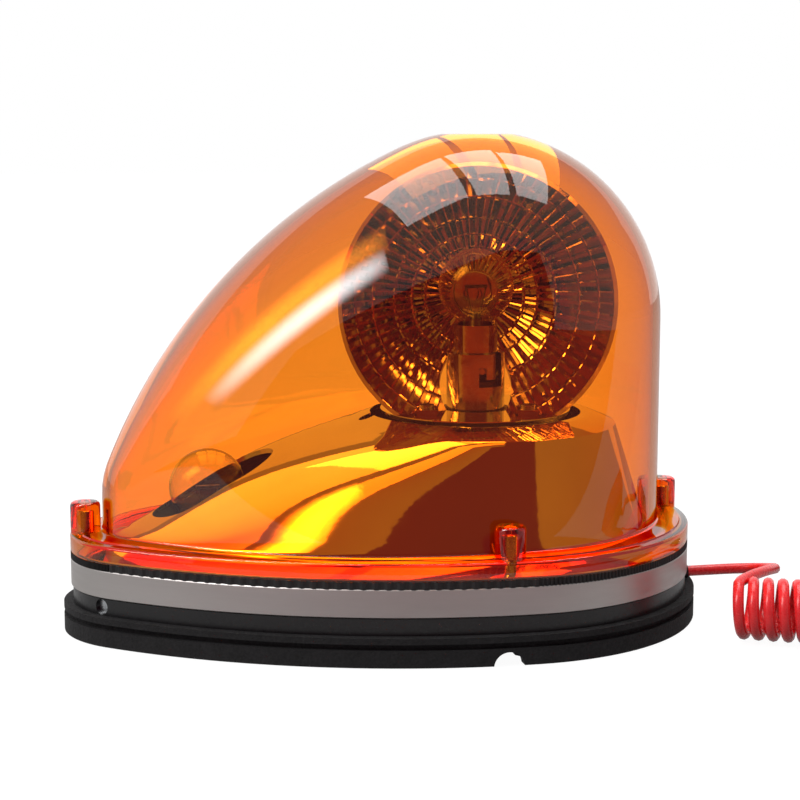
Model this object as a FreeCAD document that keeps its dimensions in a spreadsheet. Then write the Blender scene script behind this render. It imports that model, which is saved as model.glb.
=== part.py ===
"""Rotating beacon with a teardrop lens, a magnet base and a curly lead.

Millimetres, +Z up. The origin lies on the rotor's axis, in the plane that the magnet and the
rubber pad rest on. -X is the pointed nose, +X the round tail where the lead comes out.
"""
import FreeCAD, Part
import math
import os
import re

import Sketcher

Vector = FreeCAD.Vector
Z_AXIS = Vector(0, 0, 1)

SIZES = {
    # Plan of the base: tail arc, nose arc and two side arcs, all tangent
    "tail_radius": 72.3, "tail_x": 2.0, "nose_reach": 142.0, "nose_radius": 32.0,
    "side_radius": 200.0,
    # Heights of the base layers
    "pad_height": 9.5, "skirt_height": 5.5, "band_height": 9.5, "gasket_height": 2.3,
    "flange_height": 6.7, "band_shadow_gap": 0.3,
    # Rubber pad
    "pad_lip": 2.6, "pad_lower_lip": 5.5, "pad_upper_lip": 2.0, "pad_groove_depth": 1.8,
    "pad_notch_radius": 5.0, "pad_notch_drop": 0.6, "pad_notch_length": 16.0,
    "access_radius": 4.6,
    # Magnet
    "magnet_radius": 40.0, "magnet_cup_wall": 2.5, "magnet_gap": 0.6, "magnet_recess": 0.4,
    "pole_radius": 14.0, "pole_face_wall": 3.0, "magnet_fit": 0.05, "bolt_radius": 3.0,
    "bolt_head_radius": 5.0, "bolt_head_height": 4.0, "bolt_washer": 1.2,
    # Base tub
    "floor_thickness": 2.5, "tub_wall": 3.2, "deck_thickness": 2.5, "skirt_inset": 0.6,
    "band_thickness": 0.95, "band_fit": 0.05, "rib_thickness": 2.2, "rib_gap": 0.4,
    "rib_height": 6.5, "post_radius": 3.6, "gasket_width": 2.4, "side_hole_radius": 2.6,
    "side_hole_angle": 42.0, "side_hole_rise": 2.75,
    # Lens: rolling-ball surface over its own teardrop plan
    "lens_radius": 63.4, "lens_nose_centre": 102.0, "lens_nose_radius": 27.1,
    "lens_side_radius": 150.7, "lens_centre_height": 103.0, "ridge_radius": 198.5,
    "ridge_tilt": 24.7, "lens_wall": 2.5, "gate_radius": 12.5, "flange_wall": 2.5,
    "flange_ledge": 2.5, "flange_round": 0.8,
    # Screw bosses and lens screws
    "boss_radius": 5.0, "boss_inset": 5.2, "boss_rise": 10.7, "boss_round": 1.4,
    "boss_bore_depth": 3.0, "side_boss_x": -5.9, "screw_radius": 1.75, "screw_fit": 0.05,
    "screw_slack": 0.35, "screw_head_radius": 3.6, "screw_head_height": 2.6, "screw_end_gap": 1.0,
    # Metallised cover
    "cover_gap": 1.0, "cover_wall": 1.4, "cover_top_radius": 46.7, "cover_top_height": 66.5,
    "cover_rim_radius": 38.0, "cover_rim_height": 70.0, "cover_opening": 36.6, "cover_bulge": 9.8,
    "lobe_radius": 3.2, "lobe_x": -38.0, "slot_half_width": 14.0, "slot_x": -91.5,
    "slot_length": 40.8,
    # Chassis
    "pillar_radius": 3.5, "pillar_circle": 37.0, "pillar_screw_radius": 1.5,
    "pillar_screw_depth": 8.0, "pillar_screw_head": 2.8, "chassis_height": 42.0,
    "chassis_thickness": 1.5, "chassis_radius": 43.0, "sleeve_radius": 12.2,
    "sleeve_flange_radius": 18.0, "sleeve_flange": 1.5, "sleeve_height": 24.0,
    "washer_thickness": 0.8,
    # Lamps and bayonet sockets
    "lamp_height": 113.0, "globe_radius": 13.0, "glass_wall": 0.8, "neck_radius": 6.9,
    "neck_depth": 3.0, "cap_radius": 7.5, "cap_length": 17.5, "cap_wall": 0.5, "pin_radius": 1.0,
    "pin_reach": 8.9, "pin_drop": 15.5, "contact_radius": 2.0, "contact_nub": 0.8,
    "socket_radius": 10.0, "socket_wall": 2.2, "socket_drop": 9.7, "slot_width": 2.6,
    "slot_shift": 6.0, "slot_hook": 4.0, "insulator_thickness": 2.0, "plunger_travel": 1.8,
    "socket_fit": 0.05, "socket_foot": 4.0, "stem_foot_radius": 3.2,
    "stem_top_radius": 1.6, "stem_height": 7.0, "wire_radius": 0.3, "wire_foot_rise": 6.0,
    "wire_foot_reach": 1.2, "wire_top_reach": 3.6, "filament_reach": 3.9,
    "filament_thickness": 0.55, "lock_ring_radius": 14.0, "nose_lamp_x": -93.2,
    "nose_lamp_height": 46.9,
    # Rotor
    "hub_fit": 0.1, "hub_wall": 2.2, "turntable_height": 69.5, "turntable_thickness": 1.5,
    "turntable_radius": 33.0, "hub_flange_radius": 20.0, "dish_radius": 47.0, "dish_focus": 16.0,
    "dish_height": 108.5, "dish_thickness": 1.2, "dish_hub_radius": 17.5, "dish_rings": 5,
    "dish_stem_gap": 12.4, "dish_lip": 1.5, "rotor_turn": -12.4, "foot_screw_radius": 1.5,
    "foot_screw_head": 2.6, "foot_screw_x": 17.1, "foot_screw_y": 14.0, "foot_width": 8.0,
    "foot_thickness": 1.6,
    # Gears
    "gear_module": 0.8, "wheel_teeth": 60, "pinion_teeth": 10, "pressure_angle": 25.0,
    "tooth_addendum": 0.8, "tooth_dedendum": 1.15, "tooth_backlash": 0.12, "wheel_height": 46.4,
    "wheel_width": 5.0, "wheel_web": 2.0, "rim_thickness": 3.0, "pinion_overlap": 0.5,
    # Motor
    "motor_radius": 12.0, "motor_wall": 1.0, "motor_cap": 3.0, "motor_foot_gap": 1.2,
    "motor_boss_radius": 3.5, "shaft_radius": 1.15, "shaft_fit": 0.08, "shaft_rise": 1.5,
    "armature_radius": 8.5, "armature_length": 15.0, "motor_screw_radius": 1.3,
    "motor_screw_spacing": 16.0,
    # Lead and plug
    "cord_radius": 1.85, "coil_radius": 10.5, "grommet_height": 12.25, "grommet_y": -15.5,
    "grommet_radius": 2.65, "grommet_nose": 1.5, "cord_fit": 0.05, "plug_radius": 10.5,
    "plug_length": 48.0, "plug_turn": 178.0, "collar_radius": 9.6, "collar_length": 13.0,
    "collar_nose": 6.4, "tip_radius": 3.8, "tip_length": 8.0, "tip_travel": 2.5, "tip_fit": 0.08,
    "tip_seat": 5.0, "relief_length": 16.0, "relief_radius": 4.2, "relief_neck": 2.6,
    "plug_shoulder": 8.0, "plug_shoulder_radius": 6.0, "earth_width": 4.0, "earth_length": 16.0,
    "earth_thickness": 0.6, "earth_bow": 1.6, "earth_seat": 0.3,
}

# The lead's route: out of the grommet, round to the right and over the coil's first turn.
LEAD_POINTS = ((70.0, -15.6, 12.25), (82.0, -15.3, 12.2), (92.5, -16.2, 12.4), (99.6, -21.8, 13.4),
               (101.6, -30.8, 15.2), (98.4, -40.0, 17.2), (92.6, -49.2, 18.7), (86.5, -58.8, 19.3))
# The coil lies on the same surface as the pad; the plain end turns back towards the plug.
COIL_POINTS = ((80.5, -60.5, 10.75), (112.0, -79.5, 10.75), (155.0, -87.0, 10.75),
               (200.0, -81.0, 10.75), (237.0, -60.0, 10.75))
TAIL_POINTS = ((234.8, -61.3, 10.75), (250.5, -50.6, 10.9), (259.5, -35.6, 11.2),
               (262.0, -18.5, 11.3), (258.0, -3.0, 11.2), (248.5, 7.5, 11.0), (235.5, 11.8, 10.8),
               (221.5, 12.3, 10.75))

doc = FreeCAD.newDocument("Beacon")
sheet = doc.addObject("Spreadsheet::Sheet", "Sizes")
for row, (alias, value) in enumerate(SIZES.items(), 1):
    sheet.set("A%d" % row, alias.replace("_", " "))
    sheet.set("B%d" % row, str(value))
    sheet.setAlias("B%d" % row, alias)
doc.recompute()

ALIASES = sorted(SIZES, key=len)
ALIAS_PATTERN = re.compile(r"\b(%s)\b" % "|".join(reversed(ALIASES)))


def linked(expression):
    """Name the sheet in front of each alias, as other objects of the document need it."""
    return ALIAS_PATTERN.sub(lambda match: "Sizes." + match.group(1), str(expression))


def size(expression):
    """Work out an expression of the sheet's aliases."""
    return float(sheet.evalExpression(str(expression)))


def bind(target, **expressions):
    """Bind properties of an object to expressions of the sheet's aliases."""
    for name, expression in expressions.items():
        target.setExpression(name, linked(expression))


def place(target, x="0", y="0", z="0", rotation=None):
    """Give an object its Placement, with the position bound to the sheet."""
    turned = rotation or FreeCAD.Rotation()
    target.Placement = FreeCAD.Placement(Vector(size(x), size(y), size(z)), turned)
    for axis, expression in (("x", x), ("y", y), ("z", z)):
        target.setExpression("Placement.Base." + axis, linked(expression))


# Heights that several pieces share, as expressions of the sheet.
SKIRT_TOP = "pad_height + skirt_height"
DECK_TOP = "pad_height + skirt_height + band_height"
FLANGE_FOOT = "pad_height + skirt_height + band_height + gasket_height"
FLANGE_TOP = FLANGE_FOOT + " + flange_height"
FLOOR_TOP = "pad_height + floor_thickness"
RIB_TOP = DECK_TOP + " + rib_height"
PLATE_TOP = "chassis_height + chassis_thickness"
SLEEVE_FOOT_TOP = PLATE_TOP + " + sleeve_flange"
ROTOR_FOOT = SLEEVE_FOOT_TOP + " + washer_thickness"
TURNTABLE_TOP = "turntable_height + turntable_thickness"
HUB_BORE = "sleeve_radius + hub_fit"
HUB_RADIUS = "sleeve_radius + hub_fit + hub_wall"
LENS_INNER = "lens_wall"
COVER_INSET = "lens_wall + cover_gap"
RIB_INSET = "lens_wall + rib_gap"
NOSE_BOSS_X = "tail_x - nose_reach + boss_inset"
TAIL_BOSS_X = "tail_x + tail_radius - boss_inset"
SIDE_BOSS_Y = "tail_radius - boss_inset"
BOSSES = ((NOSE_BOSS_X, "0"), (TAIL_BOSS_X, "0"), ("side_boss_x", SIDE_BOSS_Y),
          ("side_boss_x", "boss_inset - tail_radius"))
WHEEL_PITCH = "gear_module * wheel_teeth / 2"
PINION_PITCH = "gear_module * pinion_teeth / 2"
MOTOR_X = "-gear_module * (wheel_teeth + pinion_teeth) / 2"
PILLARS = [("pillar_circle * cos(%d)" % angle, "pillar_circle * sin(%d)" % angle)
           for angle in (45, 135, 225, 315)]
MOTOR_SCREWS = [(MOTOR_X, "%d * motor_screw_spacing / 2" % side) for side in (-1, 1)]

# The two teardrop plans: tail centre, tail radius, nose centre, nose radius, side radius.
BASE_PLAN = ("tail_x", "tail_radius", "tail_x - nose_reach + nose_radius", "nose_radius",
             "side_radius")
LENS_PLAN = ("0", "lens_radius", "-lens_nose_centre", "lens_nose_radius", "lens_side_radius")

sub_parts = []


def finished(label, target):
    """Give a sub-part its label and remember it for the export."""
    target.Label = label
    sub_parts.append(target)
    return target


def new_body(label):
    return finished(label, doc.addObject("PartDesign::Body", label))


def origin_plane(body, role):
    for feature in body.Origin.OriginFeatures:
        if feature.Role == role:
            return feature
    raise ValueError("no plane " + role)


def new_sketch(body, role="XY_Plane", offset="0"):
    """Attach an empty sketch to one of the body's own origin planes, at an offset along it."""
    sketch = body.newObject("Sketcher::SketchObject", "Sketch")
    sketch.AttachmentSupport = (origin_plane(body, role), [""])
    sketch.MapMode = "FlatFace"
    sketch.AttachmentOffset = FreeCAD.Placement(Vector(0, 0, size(offset)), FreeCAD.Rotation())
    sketch.setExpression("AttachmentOffset.Base.z", linked(offset))
    return sketch


def drive(sketch, kind, expression, *references):
    """Add a dimension to a sketch and bind it to the sheet."""
    index = sketch.addConstraint(Sketcher.Constraint(kind, *references, size(expression)))
    sketch.setExpression("Constraints[%d]" % index, linked(expression))


def fix_point(sketch, geometry, point, x, y):
    """Fix a point of a sketch's geometry to expressions of the sheet."""
    for kind, expression in (("DistanceX", x), ("DistanceY", y)):
        if expression == "0":
            axis = -2 if kind == "DistanceX" else -1
            sketch.addConstraint(Sketcher.Constraint("PointOnObject", geometry, point, axis))
        else:
            drive(sketch, kind, expression, -1, 1, geometry, point)


def teardrop(plan, inset):
    """Work out a teardrop's arcs: centre, radius and angles of tail, side, nose and side."""
    tail_x, tail_radius, nose_x, nose_radius, side_radius = [size(term) for term in plan]
    inset = size(inset)
    reach = tail_x - nose_x
    to_tail = side_radius - tail_radius
    to_nose = side_radius - nose_radius
    along = (to_nose ** 2 - to_tail ** 2 - reach ** 2) / (2 * reach)
    across = math.sqrt(to_tail ** 2 - along ** 2)
    tail_turn = math.atan2(across, -along)
    nose_turn = math.atan2(across, -reach - along)
    whole = 2 * math.pi
    return (((tail_x, 0), tail_radius - inset, -tail_turn, tail_turn),
            ((tail_x + along, -across), side_radius - inset, tail_turn, nose_turn),
            ((nose_x, 0), nose_radius - inset, nose_turn, whole - nose_turn),
            ((tail_x + along, across), side_radius - inset, whole - nose_turn,
             whole - tail_turn))


def teardrop_arcs(plan, inset, height=0.0):
    arcs = []
    for (x, y), radius, first, last in teardrop(plan, inset):
        circle = Part.Circle(Vector(x, y, height), Z_AXIS, radius)
        arcs.append(Part.ArcOfCircle(circle, first, last))
    return arcs


def add_teardrop(sketch, plan, inset):
    """Draw one closed teardrop: four tangent arcs with driven radii and centres."""
    first = sketch.GeometryCount
    tail, side, nose, other = [sketch.addGeometry(arc, False)
                               for arc in teardrop_arcs(plan, inset)]
    for one, following in ((tail, side), (side, nose), (nose, other), (other, tail)):
        sketch.addConstraint(Sketcher.Constraint("Tangent", one, 2, following, 1))
    fix_point(sketch, first, 3, plan[0], "0")
    fix_point(sketch, nose, 3, plan[2], "0")
    for geometry, radius in ((tail, plan[1]), (side, plan[4]), (nose, plan[3]),
                             (other, plan[4])):
        drive(sketch, "Radius", "%s - (%s)" % (radius, inset), geometry)


def add_circle(sketch, x, y, radius):
    circle = Part.Circle(Vector(size(x), size(y), 0), Z_AXIS, size(radius))
    geometry = sketch.addGeometry(circle, False)
    fix_point(sketch, geometry, 3, x, y)
    drive(sketch, "Radius", radius, geometry)


def add_polygon(sketch, corners):
    """Draw a closed outline of straight lines and arcs with driven corners.

    A corner is (x, y), or (x, y, radius, side) when an arc leads to it; side is 1 when the arc
    turns anticlockwise and -1 when it turns clockwise.
    """
    points = [Vector(size(corner[0]), size(corner[1]), 0) for corner in corners]
    lines = []
    for index, corner in enumerate(corners):
        start, stop = points[index - 1], points[index]
        if len(corner) == 2:
            lines.append((sketch.addGeometry(Part.LineSegment(start, stop), False), 1, 2))
            continue
        radius, side = size(corner[2]), corner[3]
        middle = (start + stop) * 0.5
        chord = stop - start
        rise = math.sqrt(max(radius ** 2 - (chord.Length / 2) ** 2, 0))
        centre = middle + Z_AXIS.cross(chord).normalize() * rise * side
        angles = [math.atan2(p.y - centre.y, p.x - centre.x) for p in (start, stop)]
        if side < 0:
            angles.reverse()
        circle = Part.Circle(centre, Z_AXIS, radius)
        arc = sketch.addGeometry(Part.ArcOfCircle(circle, *angles), False)
        drive(sketch, "Radius", corner[2], arc)
        lines.append((arc, 1, 2) if side > 0 else (arc, 2, 1))
    for index, (geometry, start, stop) in enumerate(lines):
        following, next_start, next_stop = lines[(index + 1) % len(lines)]
        sketch.addConstraint(Sketcher.Constraint("Coincident", geometry, stop, following,
                                                 next_start))
        fix_point(sketch, geometry, stop, corners[index][0], corners[index][1])


def volume(body):
    return 0.0 if body.Tip is None else body.Shape.Volume


def add_pad(body, sketch, length):
    """Pad a sketch upwards."""
    pad = body.newObject("PartDesign::Pad", "Pad")
    pad.Profile = sketch
    bind(pad, Length=length)
    doc.recompute()
    return pad


def add_pocket(body, sketch, length, reversed_cut=False):
    """Cut a sketch into the body, against its normal unless reversed, and check that it cuts."""
    before = volume(body)
    pocket = body.newObject("PartDesign::Pocket", "Pocket")
    pocket.Profile = sketch
    pocket.Reversed = reversed_cut
    bind(pocket, Length=length)
    doc.recompute()
    if volume(body) >= before:
        raise ValueError(body.Label + ": a pocket cuts nothing")
    return pocket


def add_bore(body, radius, length, start, direction):
    """Drill a round hole from a start point along a direction."""
    before = volume(body)
    bore = body.newObject("PartDesign::SubtractiveCylinder", "Bore")
    bind(bore, Radius=radius, Height=length)
    place(bore, *start, rotation=FreeCAD.Rotation(Z_AXIS, direction))
    doc.recompute()
    if volume(body) >= before:
        raise ValueError(body.Label + ": a bore cuts nothing")
    return bore


def turned(label, corners, x="0", y="0", z="0", rotation=None):
    """Make a body by turning an outline of (radius, height) corners about its own Z axis."""
    body = new_body(label)
    add_turning(body, corners)
    place(body, x, y, z, rotation)
    return body


def add_turning(body, corners):
    sketch = new_sketch(body, "XZ_Plane")
    add_polygon(sketch, corners)
    revolution = body.newObject("PartDesign::Revolution", "Revolution")
    revolution.Profile = sketch
    revolution.ReferenceAxis = (sketch, ["V_Axis"])
    revolution.Angle = 360
    doc.recompute()
    return revolution


def ring(inner, outer, low, high):
    """List the corners of a plain ring's section."""
    return ((inner, low), (outer, low), (outer, high), (inner, high))


def teardrop_ring(label, plan, outer, inner, low, height):
    """Make a plain ring between two insets of a teardrop plan."""
    body = new_body(label)
    sketch = new_sketch(body, offset=low)
    add_teardrop(sketch, plan, outer)
    add_teardrop(sketch, plan, inner)
    add_pad(body, sketch, height)
    return body


def solid_feature(label, shape, x="0", y="0", z="0", rotation=None):
    """Keep a shape made by Part's own functions as an object of the document."""
    feature = doc.addObject("Part::Feature", label)
    feature.Shape = shape
    place(feature, x, y, z, rotation)
    return finished(label, feature)


def prism(plan, inset, low, high):
    """Extrude a teardrop between two heights."""
    edges = [arc.toShape() for arc in teardrop_arcs(plan, inset, size(low))]
    face = Part.Face(Part.Wire(edges))
    return face.extrude(Vector(0, 0, size(high) - size(low)))


def cylinder(radius, low, high, x="0", y="0"):
    base = Vector(size(x), size(y), size(low))
    return Part.makeCylinder(size(radius), size(high) - size(low), base)


# ---------------------------------------------------------------- pad and magnet
def make_rubber_pad():
    """Foot ring with two lips, a groove between them, and notches under the side bosses."""
    body = new_body("rubber_pad")
    layers = (("0", "pad_lower_lip", "-pad_lip"),
              ("pad_lower_lip", "pad_height - pad_lower_lip - pad_upper_lip",
               "pad_groove_depth - pad_lip"),
              ("pad_height - pad_upper_lip", "pad_upper_lip", "-pad_lip"))
    for low, height, inset in layers:
        sketch = new_sketch(body, offset=low)
        add_teardrop(sketch, BASE_PLAN, inset)
        add_circle(sketch, "0", "0", "magnet_radius + magnet_gap")
        add_pad(body, sketch, height)
    holes = new_sketch(body, offset="pad_height")
    for x, y in BOSSES:
        add_circle(holes, x, y, "access_radius")
    add_pocket(body, holes, "pad_height")
    outer = "tail_radius + pad_lip + 1"
    for side in (1, -1):
        start = ("side_boss_x - tail_x", "%d * (%s)" % (side, outer), "-pad_notch_drop")
        add_bore(body, "pad_notch_radius", "pad_notch_length", start, Vector(0, -side, 0))


def make_magnet():
    """Pot magnet: steel cup with a centre pole, ring magnet, and the bolt that holds it."""
    seat = "pad_height - magnet_cup_wall"
    bore = "bolt_radius + magnet_fit"
    turned("magnet_cup", (
        ("0", "0"), ("pole_radius", "0"), ("pole_radius", seat),
        ("magnet_radius - magnet_cup_wall", seat), ("magnet_radius - magnet_cup_wall", "0"),
        ("magnet_radius", "0"), ("magnet_radius", "pad_height"), (bore, "pad_height"),
        (bore, "pole_face_wall"), ("0", "pole_face_wall")))
    turned("ring_magnet", ring("pole_radius + magnet_fit",
                               "magnet_radius - magnet_cup_wall - magnet_fit",
                               "magnet_recess", seat))
    end = "pole_face_wall + magnet_gap"
    turned("magnet_bolt", (
        ("0", end), ("bolt_radius", end), ("bolt_radius", FLOOR_TOP + " + bolt_washer"),
        ("bolt_head_radius", FLOOR_TOP + " + bolt_washer"),
        ("bolt_head_radius", FLOOR_TOP + " + bolt_washer + bolt_head_height"),
        ("0", FLOOR_TOP + " + bolt_washer + bolt_head_height")))
    turned("magnet_washer", ring(bore, "bolt_head_radius * 1.5", FLOOR_TOP,
                                 FLOOR_TOP + " + bolt_washer"))


# ---------------------------------------------------------------- base tub
def make_base_tub():
    """Moulded tub: skirt, wall behind the trim band, deck, register rib, posts and holes."""
    body = new_body("base_tub")
    solids = (("pad_height", "skirt_height", BASE_PLAN, "skirt_inset"),
              (SKIRT_TOP, "band_height", BASE_PLAN, "band_thickness + band_fit"),
              (DECK_TOP, "rib_height", LENS_PLAN, RIB_INSET))
    for low, height, plan, inset in solids:
        sketch = new_sketch(body, offset=low)
        add_teardrop(sketch, plan, inset)
        add_pad(body, sketch, height)
    well = new_sketch(body, offset=RIB_TOP)
    add_teardrop(well, LENS_PLAN, RIB_INSET + " + rib_thickness")
    add_pocket(body, well, RIB_TOP + " - (%s)" % FLOOR_TOP)
    under_deck = new_sketch(body, offset=DECK_TOP + " - deck_thickness")
    add_teardrop(under_deck, BASE_PLAN, "tub_wall")
    add_pocket(body, under_deck, DECK_TOP + " - deck_thickness - (%s)" % FLOOR_TOP)
    posts = new_sketch(body, offset=FLOOR_TOP)
    for x, y in BOSSES:
        add_circle(posts, x, y, "post_radius")
    add_pad(body, posts, DECK_TOP + " - deck_thickness - (%s)" % FLOOR_TOP)
    bores = new_sketch(body, offset=DECK_TOP)
    for x, y in BOSSES:
        add_circle(bores, x, y, "screw_radius + screw_slack")
    add_pocket(body, bores, DECK_TOP + " - pad_height")
    centre = new_sketch(body, offset=FLOOR_TOP)
    add_circle(centre, "0", "0", "bolt_radius + magnet_fit")
    add_pocket(body, centre, "floor_thickness")
    add_bore(body, "grommet_radius", "tub_wall * 4",
             ("tail_x + tail_radius + 1", "grommet_y", "grommet_height"), Vector(-1, 0, 0))
    for side in (1, -1):
        angle = math.radians(size("side_hole_angle"))
        reach = "(nose_radius + 1)"
        start = ("tail_x - nose_reach + nose_radius - %s * cos(side_hole_angle)" % reach,
                 "%d * %s * sin(side_hole_angle)" % (side, reach),
                 "pad_height + side_hole_rise")
        add_bore(body, "side_hole_radius", "tub_wall * 2", start,
                 Vector(math.cos(angle), -side * math.sin(angle), 0))


def make_trim_and_gasket():
    teardrop_ring("trim_band", BASE_PLAN, "0", "band_thickness", SKIRT_TOP + " + band_shadow_gap",
                  "band_height - band_shadow_gap")
    teardrop_ring("lens_gasket", BASE_PLAN, "0", "gasket_width", DECK_TOP, "gasket_height")


# ---------------------------------------------------------------- lens
def ball_at(station):
    """Give the rolling ball's radius and centre height at a station on the plan's long axis.

    The ball touches both sides of the teardrop plan and the arc of the ridge above it.
    """
    (side_x, side_y), side_radius = teardrop(LENS_PLAN, "0")[1][:2]
    radius = side_radius - math.hypot(station - side_x, side_y)
    ridge, tilt = size("ridge_radius"), math.radians(size("ridge_tilt"))
    arm = ridge - size("lens_radius")
    ridge_x, ridge_z = arm * math.sin(tilt), size("lens_centre_height") - arm * math.cos(tilt)
    height = ridge_z + math.sqrt((ridge - radius) ** 2 - (station - ridge_x) ** 2)
    return station, radius, height


def lens_section(balls, height, inset, count=36):
    """Outline the union of the balls, and of the walls that drop from them, at one height."""
    circles = []
    for station, radius, centre_height in balls:
        rise = max(height - centre_height, 0)
        if rise < radius - inset:
            circles.append((station, math.sqrt((radius - inset) ** 2 - rise ** 2)))
    points = []
    for step in range(count):
        angle = 2 * math.pi * step / count
        reach = [station * math.cos(angle) + radius for station, radius in circles]
        station, radius = circles[reach.index(max(reach))]
        points.append(Vector(station + radius * math.cos(angle), radius * math.sin(angle), height))
    return closed_curve(points)


def closed_curve(points):
    curve = Part.BSplineCurve()
    curve.interpolate(Points=points, PeriodicFlag=True)
    return Part.Wire([curve.toShape()])


def lens_solid(foot, inset, flat_radius):
    """Loft the lens surface, inset by a wall, from a foot height to its flat top."""
    steps = 400
    reach = size("lens_nose_centre")
    balls = [ball_at(-reach * step / steps) for step in range(steps + 1)]
    centre, radius = balls[0][2], balls[0][1] - inset
    nose = balls[-1][2]
    heights = [foot, (foot + nose) / 2]
    heights += [nose + (centre - nose) * step / 6 for step in range(7)]
    top_angle = math.acos(flat_radius / radius)
    heights += [centre + radius * math.sin(top_angle * step / 7) for step in range(1, 8)]
    return Part.makeLoft([lens_section(balls, height, inset) for height in heights], True, False)


def boss_cylinders():
    """Round-topped screw bosses, from the flange's foot up."""
    bosses = []
    for x, y in BOSSES:
        boss = cylinder("boss_radius", FLANGE_FOOT, FLANGE_TOP + " + boss_rise", x, y)
        rim = [edge for edge in boss.Edges
               if abs(edge.BoundBox.ZMin - size(FLANGE_TOP + " + boss_rise")) < 1e-6]
        bosses.append(boss.makeFillet(size("boss_round"), rim))
    return bosses


def make_lens_dome():
    """Hollow lens with a skirted flange, a ledge and four screw bosses."""
    flange = prism(BASE_PLAN, "0", FLANGE_FOOT, FLANGE_TOP)
    rim = [edge for edge in flange.Edges
           if edge.BoundBox.ZMin > size(FLANGE_TOP) - 1e-6]
    flange = flange.makeFillet(size("flange_round"), rim)
    hollow = prism(BASE_PLAN, "flange_wall", FLANGE_FOOT + " - 1", FLANGE_TOP + " - flange_ledge")
    foot = size(FLANGE_FOOT)
    outer = lens_solid(foot, 0.0, size("gate_radius"))
    inner_flat = size("gate_radius") - size("lens_wall")
    inner = lens_solid(foot - 1, size("lens_wall"), inner_flat)
    shell = flange.cut(hollow).fuse([outer] + boss_cylinders())
    shell = shell.cut(inner)
    bores = [cylinder("screw_radius + screw_fit", FLANGE_FOOT + " - 1",
                      FLANGE_TOP + " + boss_rise - boss_bore_depth", x, y) for x, y in BOSSES]
    solid_feature("lens_dome", shell.cut(bores))


def make_lens_screws():
    """Four pan-head screws that come up through the tub's posts into the blind bosses."""
    head_foot = "pad_height - screw_head_height"
    head_top = "pad_height"
    end = FLANGE_TOP + " + boss_rise - boss_bore_depth - screw_end_gap"
    screws = []
    for x, y in BOSSES:
        head = cylinder("screw_head_radius", head_foot, head_top, x, y)
        screws.append(head.fuse(cylinder("screw_radius", head_top, end, x, y)))
    solid_feature("lens_screws", Part.makeCompound(screws))


def make_side_screws():
    """Two grub screws sunk in the side holes near the nose."""
    screws = []
    for side in (1, -1):
        angle = math.radians(size("side_hole_angle"))
        inward = Vector(math.cos(angle), -side * math.sin(angle), 0)
        centre = Vector(size("tail_x - nose_reach + nose_radius"), 0,
                        size("pad_height + side_hole_rise"))
        start = centre - inward * size("nose_radius - skirt_inset - tub_wall * 0.5")
        screws.append(Part.makeCylinder(size("side_hole_radius - screw_fit"), size("tub_wall"),
                                        start, inward))
    solid_feature("side_screws", Part.makeCompound(screws))


# ---------------------------------------------------------------- metallised cover
def cover_point(angle, share, inset):
    """Give a point of the cover's skin, by the direction it faces and its share of the height."""
    tail_x, tail_radius, nose_x, nose_radius = [size(term) for term in LENS_PLAN[:4]]
    tail, side, nose, other = teardrop(LENS_PLAN, "0")
    if abs(angle) <= tail[3]:
        centre, radius = tail[:2]
    elif abs(angle) >= nose[2]:
        centre, radius = nose[:2]
    else:
        centre, radius = (side if angle > 0 else other)[:2]
    radius -= size(COVER_INSET)
    foot = Vector(centre[0] + radius * math.cos(angle), centre[1] + radius * math.sin(angle), 0)
    top_radius = size("cover_top_radius")
    top = Vector(size("tail_x") + top_radius * math.cos(angle), top_radius * math.sin(angle), 0)
    swell = size("cover_bulge") * 6.75 * share ** 2 * (1 - share)
    swell *= max(-math.cos(angle), 0) ** 2
    outward = Vector(math.cos(angle), math.sin(angle), 0)
    return foot * (1 - share) + top * share + outward * (swell - inset)


def cover_ring(height, share, inset, count=24):
    """Outline the cover's skin at one height."""
    angles = [2 * math.pi * turn / count for turn in range(count)]
    angles = [angle if angle <= math.pi else angle - 2 * math.pi for angle in angles]
    return closed_curve([cover_point(angle, share, inset) + Z_AXIS * height for angle in angles])


def cover_solid(foot, inset, top):
    rings = [cover_ring(foot + (top - foot) * step / 4, step / 4, inset) for step in range(5)]
    return Part.makeLoft(rings, True, False)


def make_chrome_cover():
    """Bright inner cover: a tower under the rotor and a ramp to the nose, in one skin."""
    foot, top = size(RIB_TOP), size("cover_top_height")
    wall = size("cover_wall")
    rim_height = size("cover_rim_height")
    skirt = cover_solid(foot, 0.0, top).cut(cover_solid(foot - 1, wall, top - wall))
    chamfer = size("cover_top_radius - cover_rim_radius")
    crown = Part.makeLoft([cover_ring(top, 1.0, 0.0), cover_ring(rim_height, 1.0, chamfer)],
                          True, True)
    top_radius, rim_radius = size("cover_top_radius"), size("cover_rim_radius")
    rise = rim_height - top
    base = Vector(size("tail_x"), 0, top)
    under = Part.makeCone(top_radius - 2 * wall, rim_radius - 2 * wall, rise, base - Z_AXIS * wall)
    well = Part.makeCylinder(top_radius - 2 * wall, 2 * wall, base - Z_AXIS * 2 * wall)
    shell = skirt.fuse(crown).removeSplitter().cut([well, under])
    opening = cylinder("cover_opening", "cover_top_height - 3", "cover_rim_height + 1")
    lobe = cylinder("lobe_radius", "cover_top_height - 3", "cover_rim_height + 1", "lobe_x")
    slot_ends = "slot_length / 2 - slot_half_width"
    low, high = RIB_TOP, "cover_top_height"
    slot = [cylinder("slot_half_width", low, high, "slot_x + %d * (%s)" % (side, slot_ends))
            for side in (-1, 1)]
    middle = Part.makeBox(2 * size(slot_ends), 2 * size("slot_half_width"), size(high) - size(low),
                          Vector(size("slot_x - (%s)" % slot_ends), -size("slot_half_width"),
                                 size(low)))
    slot = slot[0].fuse([slot[1], middle]).removeSplitter()
    solid_feature("chrome_cover", shell.cut(opening.fuse(lobe)).cut(slot))


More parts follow.
